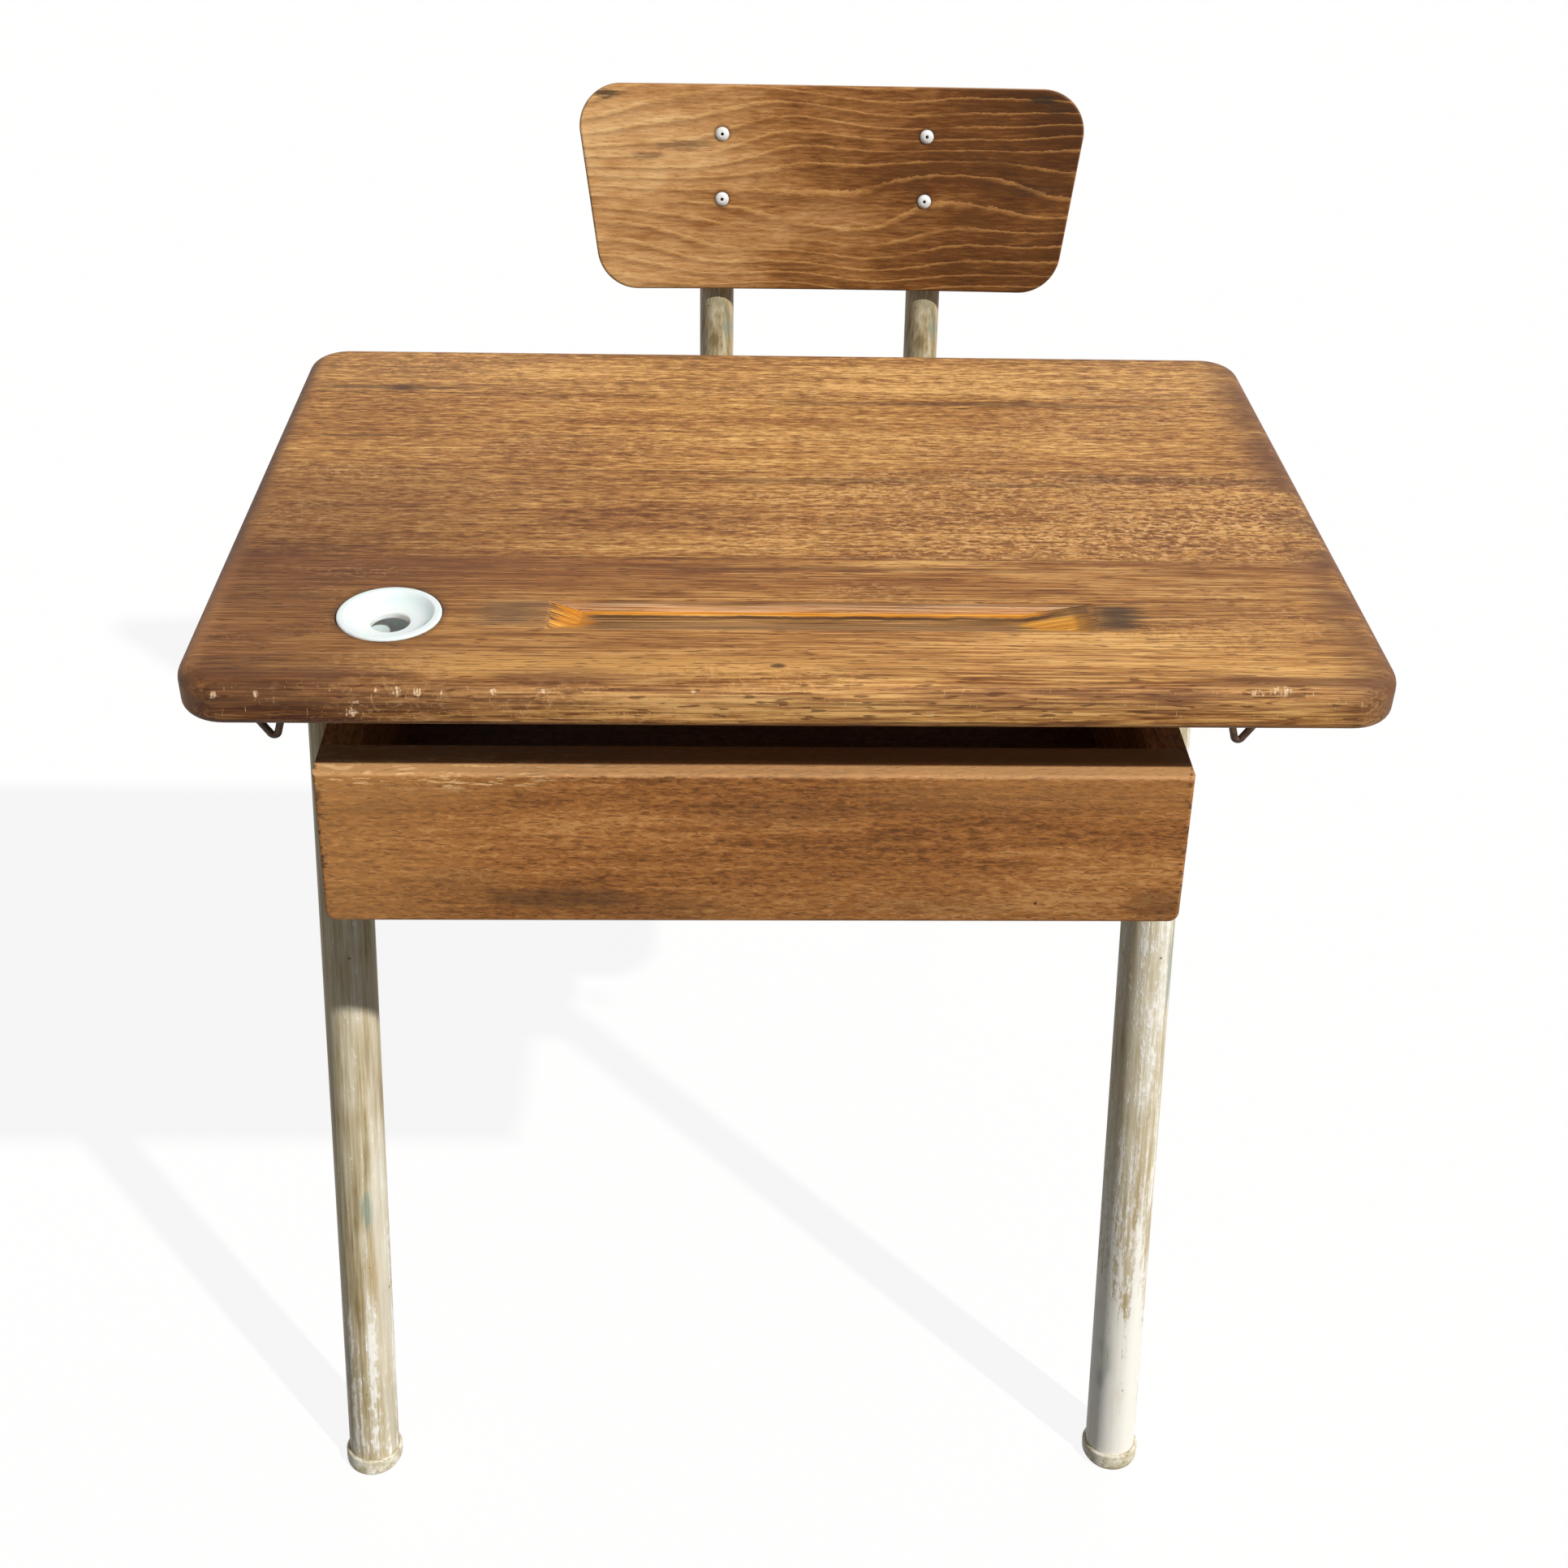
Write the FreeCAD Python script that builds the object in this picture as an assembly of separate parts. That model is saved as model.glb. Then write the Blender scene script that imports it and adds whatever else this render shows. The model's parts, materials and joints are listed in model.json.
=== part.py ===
import FreeCAD, Part
import math
import os

# School desk with a lifting top board, a book box and an attached seat.
# All lengths are in millimetres. X runs to the right as seen from the front panel,
# Y runs from the front panel towards the seat, Z is up and the feet stand at zero.

# Top board
lid_width = 645.0
lid_depth = 438.0
lid_thick = 28.0
lid_height = 715.0
lid_offset = 18.0
lid_corner_r = 26.0
lid_top_round = 11.0
lid_under_round = 6.0

# Pencil groove in the top board
groove_from_left = 189.5
groove_from_front = 54.0
groove_length = 302.0
groove_width = 32.0
groove_depth = 7.0
groove_floor_share = 0.4
groove_left_ramp_share = 0.06
groove_right_ramp_share = 0.13

# Inkwell
well_from_left = 104.5
well_from_front = 69.5
well_rim_d = 57.0
well_rim_thick = 4.0
well_recess = 3.0
well_gap = 0.6
well_body_d = 42.0
well_body_height = 44.0
well_wall = 4.0
well_mouth_d = 21.0
well_dish_depth = 6.0
well_round = 1.4

# Book box
box_side_margin = 80.5
box_setback = 23.0
box_rear_margin = 44.0
box_drop = 73.5
box_height = 92.5
box_lean = 13.4
box_front_thick = 28.0
box_side_thick = 22.0
box_back_thick = 8.0
box_floor_thick = 6.0
box_floor_lift = 3.0
box_edge_round = 2.5
box_corner_round = 6.0

# Front legs, measured between the box rim and the floor
leg_d = 35.5
leg_wall = 2.0
leg_gap = 0.6
leg_back = 173.0
leg_reach = 135.0
leg_splay = 13.0

# Foot caps
cap_wall = 2.4
cap_length = 10.0
cap_floor = 4.0
rear_cap_length = 18.0
rear_cap_floor = 8.0
cap_round = 1.5
cap_foot_round = 3.0
cap_gap = 0.3

# Rails under the top board
rail_width = 40.0
rail_height = 20.0
rail_wall = 2.0
rail_setback = 28.0
rail_rear_margin = 69.0
plug_head = 3.0
plug_depth = 8.0
plug_gap = 0.1

# Hinges
hinge_from_front = 29.0
hinge_width = 36.0
knuckle_d = 10.0
knuckle_shares = (0.0, 0.3, 0.7, 1.0)
knuckle_gap = 0.3
hinge_drop = 0.4
leaf_thick = 2.0
leaf_length = 62.0
pin_d = 5.0
pin_fit = 0.05
pin_head_d = 8.0
pin_head_thick = 1.5
lid_screw_shares = (0.46, 0.74)
rail_screw_shares = (0.88, 0.74)
lid_screw_length = 16.0
rail_screw_length = 9.0

# Rubber rests
buffer_d = 18.0
buffer_from_end = 16.0

# Screws of the hinges and the box
screw_d = 4.0
screw_head_d = 8.0
screw_head_thick = 2.0
screw_slot_width = 1.2
screw_slot_depth = 1.1
screw_fit = 0.1
box_screw_bite = 8.0
leg_screw_shares = (0.28, 0.72)
hanger_screw_shares = (0.25, 0.6)

# Box hangers
hanger_width = 26.0
hanger_thick = 3.0
hanger_length = 62.0
hanger_from_end = 40.0

# Tubes between the legs and under the seat
cross_d = 32.0
spine_d = 28.0
seat_cross_d = 22.0
tube_wall = 2.0
weld_gap = 0.3

# Bag hooks
hook_d = 4.8
hook_bend = 2.7
hook_out = 28.5
hook_bias = 5.0
hook_lean = 12.0
hook_flare = 19.0
hook_root = 42.0
hook_tip = 30.0

# Seat unit
seat_offset = 60.5
seat_height = 430.0
seat_width = 380.0
seat_depth = 295.0
seat_thick = 10.0
seat_corner_r = 48.0
seat_round = 3.0
seat_back_gap = 3.0
spine_spacing = 172.0
spine_start_run = 21.4
spine_drop_run = 45.0
spine_seat_margin = 6.0
spine_bend = 50.0
seat_cross_share = 0.3
rear_leg_share = 0.72
rear_reach = 205.0
rear_splay = 66.0

# Backrest
back_height = 743.0
back_width = 412.0
back_narrowing = 42.0
back_tall = 160.0
back_thick = 9.0
back_corner_r = 33.0
back_curve_r = 2400.0
back_recline = 12.0
back_shift = 6.0
back_round = 2.0
back_rivet_pitch = 50.5
back_rivet_rise = 17.0
back_rivet_inset = 4.0
post_short = 16.0

# Rivets
rivet_head_d = 11.0
rivet_head_thick = 2.6
rivet_d = 4.8
rivet_hole_d = 2.6
rivet_tail = 5.0
rivet_fit = 0.1
rivet_seat = 0.3
seat_rivet_shares = (0.22, 0.8)

# How far a cutting body runs past what it cuts, and how near two heights count as one
overrun = 2.0
near = 0.05

V = FreeCAD.Vector
X_DIR = V(1, 0, 0)
Y_DIR = V(0, 1, 0)
Z_DIR = V(0, 0, 1)


def block(x0, x1, y0, y1, z0, z1):
    """Box between two corners."""
    return Part.makeBox(x1 - x0, y1 - y0, z1 - z0, V(x0, y0, z0))


def bar(start, end, radius):
    """Round bar between two points."""
    return Part.makeCylinder(radius, (end - start).Length, start, end - start)


def tube(start, end, diameter, wall):
    """Straight round tube between two points, open at both ends."""
    step = (end - start).normalize() * overrun
    outer = bar(start, end, diameter / 2)
    return outer.cut(bar(start - step, end + step, diameter / 2 - wall))


def prism_x(points, x0, x1):
    """Outline given as (y, z) points, pulled along X."""
    ring = [V(x0, y, z) for y, z in points]
    face = Part.Face(Part.makePolygon(ring + ring[:1]))
    return face.extrude(V(x1 - x0, 0, 0))


def prism_y(points, y0, y1):
    """Outline given as (x, z) points, pulled along Y."""
    ring = [V(x, y0, z) for x, z in points]
    face = Part.Face(Part.makePolygon(ring + ring[:1]))
    return face.extrude(V(0, y1 - y0, 0))


def path_edges(points, radii, closed):
    """Straight runs joined by tangent arcs at the inner points, one radius for each point."""
    count = len(points)
    corners = range(count) if closed else range(1, count - 1)
    ends = {}
    for i in corners:
        here = points[i]
        back = (points[i - 1] - here).normalize()
        ahead = (points[(i + 1) % count] - here).normalize()
        half = back.getAngle(ahead) / 2
        reach = radii[i] / math.tan(half)
        middle = (back + ahead).normalize() * (radii[i] / math.sin(half) - radii[i])
        ends[i] = (here + back * reach, here + middle, here + ahead * reach)
    edges = []
    for i in range(count if closed else count - 1):
        j = (i + 1) % count
        start = ends[i][2] if i in ends else points[i]
        end = ends[j][0] if j in ends else points[j]
        edges.append(Part.LineSegment(start, end).toShape())
        if j in ends:
            edges.append(Part.Arc(*ends[j]).toShape())
    return edges


def bent_bar(points, bend, radius):
    """Round bar along a bent path."""
    path = Part.Wire(path_edges(points, [bend] * len(points), False))
    ring = Part.Wire(Part.makeCircle(radius, points[0], points[1] - points[0]))
    return path.makePipeShell([ring], True, False)


def plate(points, corner_r, z0, thick):
    """Flat plate with rounded corners; points are (x, y)."""
    ring = path_edges([V(x, y, z0) for x, y in points], [corner_r] * len(points), True)
    return Part.Face(Part.Wire(ring)).extrude(V(0, 0, thick))


def level_edges(shape, z):
    """Edges of a shape that lie flat at one height."""
    found = []
    for edge in shape.Edges:
        box = edge.BoundBox
        if abs(box.ZMin - z) < near and abs(box.ZMax - z) < near:
            found.append(edge)
    return found


def turned(edges):
    """Body of revolution about Z from a closed outline in the XZ plane."""
    return Part.Face(Part.Wire(edges)).revolve(V(0, 0, 0), Z_DIR, 360)


def aimed(shape, place, direction):
    """Move a body made along +Z so that it points in a direction at a place."""
    moved = shape.copy()
    moved.Placement = FreeCAD.Placement(place, FreeCAD.Rotation(Z_DIR, direction))
    return moved


def screw(length):
    """Slotted pan-head screw: head above zero, shank below it."""
    head = Part.makeCylinder(screw_head_d / 2, screw_head_thick)
    head = head.makeFillet(screw_head_thick / 2, level_edges(head, screw_head_thick))
    slot_low = screw_head_thick - screw_slot_depth
    slot_x = screw_slot_width / 2
    head = head.cut(block(-slot_x, slot_x, -screw_head_d, screw_head_d, slot_low, screw_head_thick + overrun))
    shank = Part.makeCylinder(screw_d / 2, length, V(0, 0, 0), V(0, 0, -1))
    return head.fuse(shank).removeSplitter()


def rivet(grip):
    """Hollow domed rivet: head above zero, shank and tail below it."""
    head_r = rivet_head_d / 2
    hole_r = rivet_hole_d / 2
    rim = rivet_head_thick / 4
    rise = rivet_head_thick - rim
    foot = V(head_r, 0, rim)
    crown = V(hole_r, 0, rivet_head_thick)
    sag = V((head_r + hole_r) / 2 + rise / 4, 0, rim + rise * 3 / 4)
    sides = [V(hole_r, 0, 0), V(head_r, 0, 0), foot]
    edges = [Part.LineSegment(a, b).toShape() for a, b in zip(sides, sides[1:])]
    edges.append(Part.Arc(foot, sag, crown).toShape())
    edges.append(Part.LineSegment(crown, sides[0]).toShape())
    low = V(0, 0, -grip - rivet_tail)
    shank = tube(low, V(0, 0, 0), rivet_d, (rivet_d - rivet_hole_d) / 2)
    return turned(edges).fuse(shank).removeSplitter()


# Levels and edges that follow from the sizes
lid_front = -lid_depth / 2
lid_rear = lid_depth / 2
lid_left = lid_offset - lid_width / 2
lid_right = lid_offset + lid_width / 2
lid_under = lid_height - lid_thick
rim_z = lid_height - box_drop
box_low = rim_z - box_height
box_top_y = lid_front + box_setback
box_low_y = box_top_y - box_lean
box_rear_y = lid_rear - box_rear_margin
box_half = lid_width / 2 - box_side_margin
box_inner = box_half - box_side_thick
box_screw_length = box_side_thick + box_screw_bite
hinge_y = lid_front + hinge_from_front
knuckle_r = knuckle_d / 2
hinge_z = lid_under - hinge_drop - knuckle_r
rail_top = hinge_z - knuckle_r
rail_low = rail_top - rail_height
rail_front = hinge_y + rail_setback
rail_rear = lid_rear - rail_rear_margin
leg_rim_x = box_half + leg_gap + leg_d / 2
leg_rim_y = box_top_y + leg_back
cross_z = box_low - weld_gap - cross_d / 2
spine_r = spine_d / 2
seat_tube_z = seat_height - seat_thick - spine_r
seat_grip = seat_thick + tube_wall
back_grip = back_thick + tube_wall
recline = math.radians(back_recline)
back_up = V(0, math.sin(recline), math.cos(recline))
back_out = V(0, -math.cos(recline), math.sin(recline))

nodes = {}


def leg_point(side, z):
    """Point of a front leg's axis at a height."""
    down = (rim_z - z) / rim_z
    return V(side * (leg_rim_x + leg_splay * down), leg_rim_y - leg_reach * down, z)


def capped_leg(top, foot, diameter, wall, length, base):
    """Tube that ends just above the floor, and the cap of a length and base thickness that it stands in."""
    way = (top - foot).normalize()
    end = foot + way * base
    leg = tube(end, top, diameter, wall)
    radius = diameter / 2 + cap_wall
    cup = bar(foot - way * length, foot + way * length, radius)
    ring = [e for e in cup.Edges if e.BoundBox.ZMin > 0 and len(e.Vertexes) == 1]
    cup = cup.makeFillet(cap_round, ring)
    far = radius + length
    cup = cup.cut(block(foot.x - far, foot.x + far, foot.y - far, foot.y + far, -far - far, 0))
    cup = cup.makeFillet(cap_foot_round, level_edges(cup, 0))
    cup = cup.cut(bar(end, foot + way * (length + overrun), diameter / 2 + cap_gap))
    return leg, cup


# Top board with its groove, inkwell hole and hinge screw holes
corners = [(lid_left, lid_front), (lid_right, lid_front), (lid_right, lid_rear), (lid_left, lid_rear)]
lid = plate(corners, lid_corner_r, lid_under, lid_thick)
lid = lid.makeFillet(lid_top_round, level_edges(lid, lid_height))
lid = lid.makeFillet(lid_under_round, level_edges(lid, lid_under))

groove_x0 = lid_left + groove_from_left
groove_x1 = groove_x0 + groove_length
groove_y0 = lid_front + groove_from_front
groove_y1 = groove_y0 + groove_width
groove_z = lid_height - groove_depth
groove_slope = groove_width * (1 - groove_floor_share)
rise_share = overrun / groove_depth
across = [
    (groove_y1, lid_height + overrun),
    (groove_y1, groove_z),
    (groove_y1 - groove_width * groove_floor_share, groove_z),
    (groove_y0 - groove_slope * rise_share, lid_height + overrun),
]
left_ramp = groove_length * groove_left_ramp_share
right_ramp = groove_length * groove_right_ramp_share
along = [
    (groove_x0 - left_ramp * rise_share, lid_height + overrun),
    (groove_x0 + left_ramp, groove_z),
    (groove_x1 - right_ramp, groove_z),
    (groove_x1 + right_ramp * rise_share, lid_height + overrun),
]
trough = prism_x(across, groove_x0 - left_ramp, groove_x1 + right_ramp)
trough = trough.common(prism_y(along, groove_y0 - groove_slope, groove_y1 + overrun))
lid = lid.cut(trough)

well_at = V(lid_left + well_from_left, lid_front + well_from_front, lid_height - well_recess)
rim_hole = bar(well_at, well_at + Z_DIR * (well_recess + overrun), well_rim_d / 2 + well_gap)
body_hole = bar(well_at, well_at - Z_DIR * (lid_thick + overrun), well_body_d / 2 + well_gap)
lid = lid.cut(rim_hole).cut(body_hole)

# Inkwell: flange, dish, neck and a closed cup below
rim_r = well_rim_d / 2
body_r = well_body_d / 2
mouth_r = well_mouth_d / 2
dish_low = well_rim_thick - well_dish_depth
roof = dish_low - well_wall
cup_low = -well_body_height + well_wall
bowl_r = (rim_r + mouth_r) / 2
profile = [
    (0, -well_body_height, 0),
    (body_r, -well_body_height, well_wall),
    (body_r, 0, well_gap / 2),
    (rim_r, 0, well_round),
    (rim_r, well_rim_thick, well_round),
    (rim_r - well_wall, well_rim_thick, well_round),
    (bowl_r, dish_low + well_round, well_rim_d / 4),
    (mouth_r, dish_low, well_round),
    (mouth_r, roof, well_round),
    (body_r - well_wall, roof - well_wall, well_round),
    (body_r - well_wall, cup_low, well_wall),
    (0, cup_low, 0),
]
outline = [V(r, 0, z) for r, z, round_r in profile]
edges = path_edges(outline, [round_r for r, z, round_r in profile], False)
edges.append(Part.LineSegment(outline[-1], outline[0]).toShape())
well = turned(edges)
well.translate(well_at)
nodes["inkwell"] = well

# Book box: thick leaning front panel, thick sides, thin floor and back
top_in = box_top_y + box_front_thick
low_in = box_low_y + box_front_thick
front = prism_x(
    [(box_top_y, rim_z), (box_low_y, box_low), (low_in, box_low), (top_in, rim_z)], -box_half, box_half
)
low_corners = [e for e in level_edges(front, box_low) if e.BoundBox.XLength < near]
front = front.makeFillet(box_corner_round, low_corners)
outer = []
for e in front.Edges:
    at = e.CenterOfMass
    lean_y = box_top_y - box_lean * (rim_z - at.z) / box_height
    if abs(at.y - lean_y) < box_front_thick / 4:
        outer.append(e)
nodes["box_front_panel"] = front.makeFillet(box_edge_round, outer)

side_outline = [(top_in, rim_z), (low_in, box_low), (box_rear_y, box_low), (box_rear_y, rim_z)]
back_y = box_rear_y - box_back_thick
nodes["box_back_panel"] = block(-box_inner, box_inner, back_y, box_rear_y, box_low, rim_z)
floor_low = box_low + box_floor_lift
floor_top = floor_low + box_floor_thick
lean_rate = box_lean / box_height
floor_outline = [
    (low_in + lean_rate * box_floor_lift, floor_low),
    (back_y, floor_low),
    (back_y, floor_top),
    (low_in + lean_rate * (box_floor_lift + box_floor_thick), floor_top),
]
nodes["box_floor"] = prism_x(floor_outline, -box_inner, box_inner)

# Cross tube between the front legs, and the seat spines that start on it
cross_at = leg_point(1, cross_z)
cross = tube(V(-cross_at.x, cross_at.y, cross_z), V(cross_at.x, cross_at.y, cross_z), cross_d, tube_wall)

hook_y = leg_point(1, rim_z - box_height / 2).y
drop_turn = abs(math.atan2(cross_z - seat_tube_z, spine_drop_run))
drop_reach = spine_bend * math.tan(drop_turn / 2)
first_bend_y = cross_at.y + spine_start_run + drop_reach
low_bend_y = first_bend_y + spine_drop_run
seat_front = low_bend_y + drop_reach + spine_seat_margin
seat_rear = seat_front + seat_depth
post_y = seat_rear + seat_back_gap + spine_bend * math.tan((math.pi / 2 - recline) / 2)

# Backrest place: on the leaned posts, at its own height
board_bow = (spine_spacing / 2) ** 2 / (2 * back_curve_r)
post_depth = back_thick + weld_gap + spine_r - board_bow
post_z = back_height - back_out.z * post_depth
post_mid = V(0, post_y + math.tan(recline) * (post_z - seat_tube_z), post_z)
post_top = post_mid + back_up * (back_tall / 2 - post_short)
back_centre = V(seat_offset + back_shift, post_mid.y + back_out.y * post_depth, back_height)
rear_y = seat_front + seat_depth * rear_leg_share
brace_y = seat_front + seat_depth * seat_cross_share

box_screws = []
lid_screws = []
rail_screws = []
buffers = []
rail_plugs = []
spine_plugs = []
seat_rivets = []
back_rivets = []
side_names = ((-1, "left"), (1, "right"))

for side, name in side_names:
    # Side panel of the box
    x_in = side * box_inner
    x_out = side * box_half
    panel = prism_x(side_outline, min(x_in, x_out), max(x_in, x_out))

    # Front leg, cut off flat under the rail, and its foot cap
    top = leg_point(side, lid_height)
    foot = leg_point(side, 0)
    leg, cup = capped_leg(top, foot, leg_d, leg_wall, cap_length, cap_floor)
    leg = leg.cut(block(top.x - leg_d, top.x + leg_d, top.y - leg_d, top.y + leg_d, rail_low, top.z + leg_d))
    cross = cross.cut(bar(leg_point(side, 0), top, leg_d / 2 + weld_gap))

    # Bag hook: a bent rod welded to the outside of the leg
    root_z = rim_z - box_height / 2
    hub = leg_point(side, root_z)
    low_z = root_z - hook_root
    hook_x = side * (leg_d / 2 + hook_out) + hook_bias
    bend_at = V(hub.x + hook_x, hook_y, low_z)
    tip = V(hub.x + hook_x + side * hook_flare, hook_y, low_z + hook_tip)
    start = V(hub.x + side * leg_d / 4, hook_y, root_z)
    shoulder = V(bend_at.x - side * hook_lean, hook_y, root_z)
    hook = bent_bar([start, shoulder, bend_at, tip], hook_bend, hook_d / 2)
    nodes["bag_hook_" + name] = hook.cut(bar(foot, top, leg_d / 2 + weld_gap))

    # Rail, its end plugs and its rubber rest
    rail_x = leg_point(side, rail_low).x
    x0 = rail_x - rail_width / 2
    x1 = rail_x + rail_width / 2
    rail = block(x0, x1, rail_front, rail_rear, rail_low, rail_top)
    hollow = block(
        x0 + rail_wall, x1 - rail_wall,
        rail_front - overrun, rail_rear + overrun,
        rail_low + rail_wall, rail_top - rail_wall,
    )
    rail = rail.cut(hollow)
    for y_end, way in ((rail_front, -1), (rail_rear, 1)):
        y_out = y_end + way * plug_head
        y_deep = y_end - way * plug_depth
        head = block(x0, x1, min(y_end, y_out), max(y_end, y_out), rail_low, rail_top)
        inset = rail_wall + plug_gap
        stem = block(
            x0 + inset, x1 - inset,
            min(y_end, y_deep), max(y_end, y_deep),
            rail_low + inset, rail_top - inset,
        )
        rail_plugs.append(head.fuse(stem).removeSplitter())
    rest_at = V(rail_x, rail_rear - buffer_from_end, rail_top)
    buffers.append(bar(rest_at, V(rail_x, rest_at.y, lid_under), buffer_d / 2))

    # Hinge: one leaf on the rail, one under the lid, and the pin
    h0 = rail_x - hinge_width / 2
    marks = [h0 + hinge_width * share for share in knuckle_shares]
    neck_y = hinge_y + knuckle_r + knuckle_gap
    end_y = hinge_y + leaf_length
    hole = bar(
        V(h0 - overrun, hinge_y, hinge_z), V(h0 + hinge_width + overrun, hinge_y, hinge_z), pin_d / 2 + pin_fit
    )
    leaves = {}
    spans = {"rail": [(1, 2)], "lid": [(0, 1), (2, 3)]}
    floors = {"rail": rail_top, "lid": lid_under - leaf_thick}
    for kind in ("rail", "lid"):
        z0 = floors[kind]
        leaf = block(h0, h0 + hinge_width, neck_y, end_y, z0, z0 + leaf_thick)
        for a, b in spans[kind]:
            xa = marks[a] + (knuckle_gap if a > 0 else 0)
            xb = marks[b] - (knuckle_gap if b < len(marks) - 1 else 0)
            leaf = leaf.fuse(block(xa, xb, hinge_y, neck_y, z0, z0 + leaf_thick))
            leaf = leaf.fuse(bar(V(xa, hinge_y, hinge_z), V(xb, hinge_y, hinge_z), knuckle_r))
        leaves[kind] = leaf.removeSplitter().cut(hole)
    shaft = bar(V(h0 - pin_fit, hinge_y, hinge_z), V(h0 + hinge_width + pin_fit, hinge_y, hinge_z), pin_d / 2)
    for x_head, way in ((h0 - pin_fit, -1), (h0 + hinge_width + pin_fit, 1)):
        inner = V(x_head, hinge_y, hinge_z)
        shaft = shaft.fuse(bar(inner, inner + X_DIR * (way * pin_head_thick), pin_head_d / 2))
    nodes["hinge_pin_" + name] = shaft.removeSplitter()

    lane = hinge_width / 4
    for share, step in zip(lid_screw_shares, (-1, 1)):
        at = V(rail_x + step * lane, hinge_y + leaf_length * share, lid_under - leaf_thick)
        way = V(0, 0, -1)
        lid_screws.append(aimed(screw(lid_screw_length), at, way))
        bore = bar(at - Z_DIR * overrun, at + Z_DIR * (lid_screw_length + overrun / 4), screw_d / 2 + screw_fit)
        leaves["lid"] = leaves["lid"].cut(bore)
        lid = lid.cut(bore)
    for share, step in zip(rail_screw_shares, (1, -1)):
        at = V(rail_x + step * lane, hinge_y + leaf_length * share, rail_top + leaf_thick)
        rail_screws.append(aimed(screw(rail_screw_length), at, Z_DIR))
        bore = bar(at + Z_DIR * overrun, at - Z_DIR * rail_screw_length, screw_d / 2 + screw_fit)
        leaves["rail"] = leaves["rail"].cut(bore)
        rail = rail.cut(bore)
    nodes["hinge_rail_leaf_" + name] = leaves["rail"]
    nodes["hinge_lid_leaf_" + name] = leaves["lid"]

    # Hanger that ties the rear of the box to the rail
    hang_y = rail_rear - hanger_from_end
    hang_x = side * (box_half + hanger_thick)
    hanger = block(
        min(x_out, hang_x), max(x_out, hang_x),
        hang_y - hanger_width / 2, hang_y + hanger_width / 2,
        rail_low - hanger_length, rail_low,
    )

    # Screws that hold the side panel to the leg and the hanger
    spots = []
    for share in leg_screw_shares:
        at = leg_point(side, rim_z - box_height * share)
        spots.append(V(x_in, at.y, at.z))
    for share in hanger_screw_shares:
        spots.append(V(x_in, hang_y, rail_low - hanger_length * (1 - share / 2)))
    for at in spots:
        way = V(-side, 0, 0)
        box_screws.append(aimed(screw(box_screw_length), at, way))
        bore = bar(at + way * overrun, at - way * (box_screw_length + overrun), screw_d / 2 + screw_fit)
        panel = panel.cut(bore)
        leg = leg.cut(bore)
        hanger = hanger.cut(bore)
    nodes["box_side_" + name] = panel
    nodes["box_hanger_" + name] = hanger
    nodes["top_rail_" + name] = rail
    nodes["front_leg_" + name] = leg
    nodes["front_foot_" + name] = cup

    # Seat spine: back from the cross tube, down to the seat, along it and up behind the backrest
    spine_x = seat_offset + side * spine_spacing / 2
    route = [
        V(spine_x, cross_at.y, cross_z),
        V(spine_x, first_bend_y, cross_z),
        V(spine_x, low_bend_y, seat_tube_z),
        V(spine_x, post_y, seat_tube_z),
        V(spine_x, post_top.y, post_top.z),
    ]
    spine = bent_bar(route, spine_bend, spine_r)
    core = list(route)
    core[-1] = route[-1] + back_up * overrun
    spine = spine.cut(bent_bar(core, spine_bend, spine_r - tube_wall))
    joint = bar(V(-box_half, cross_at.y, cross_z), V(box_half, cross_at.y, cross_z), cross_d / 2 + weld_gap)
    spine = spine.cut(joint)
    spine_top = V(spine_x, post_top.y, post_top.z)
    lip = bar(spine_top, spine_top + back_up * plug_head, spine_r)
    stem = bar(spine_top, spine_top - back_up * plug_depth, spine_r - tube_wall - plug_gap)
    spine_plugs.append(lip.fuse(stem).removeSplitter())

    # Rear leg, welded under the spine, and its foot cap
    hip = V(spine_x, rear_y, seat_tube_z)
    rear_foot = V(spine_x + side * rear_splay, rear_y + rear_reach, 0)
    rear_leg, rear_cup = capped_leg(hip, rear_foot, spine_d, tube_wall, rear_cap_length, rear_cap_floor)
    seat_run = bar(V(spine_x, seat_front, seat_tube_z), V(spine_x, seat_rear, seat_tube_z), spine_r + weld_gap)
    nodes["rear_leg_" + name] = rear_leg.cut(seat_run)
    nodes["rear_foot_" + name] = rear_cup

    # Rivets of the seat and the backrest on this spine
    for share in seat_rivet_shares:
        at = V(spine_x, seat_front + seat_depth * share, seat_height)
        seat_rivets.append((at, Z_DIR))
    for rise in (-back_rivet_pitch / 2, back_rivet_pitch / 2):
        rivet_x = spine_x - side * back_rivet_inset
        bow_here = (rivet_x - back_centre.x) ** 2 / (2 * back_curve_r)
        face = back_centre + back_out * (bow_here - rivet_seat)
        at = V(rivet_x, face.y, face.z) + back_up * (rise + back_rivet_rise)
        back_rivets.append((at, back_out))
    for at, way in seat_rivets + back_rivets:
        spine = spine.cut(bar(at, at - way * (back_grip + rivet_tail + overrun), rivet_d / 2 + rivet_fit))
    nodes["seat_spine_" + name] = spine

nodes["desktop_lid"] = lid
nodes["cross_tube"] = cross

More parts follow.
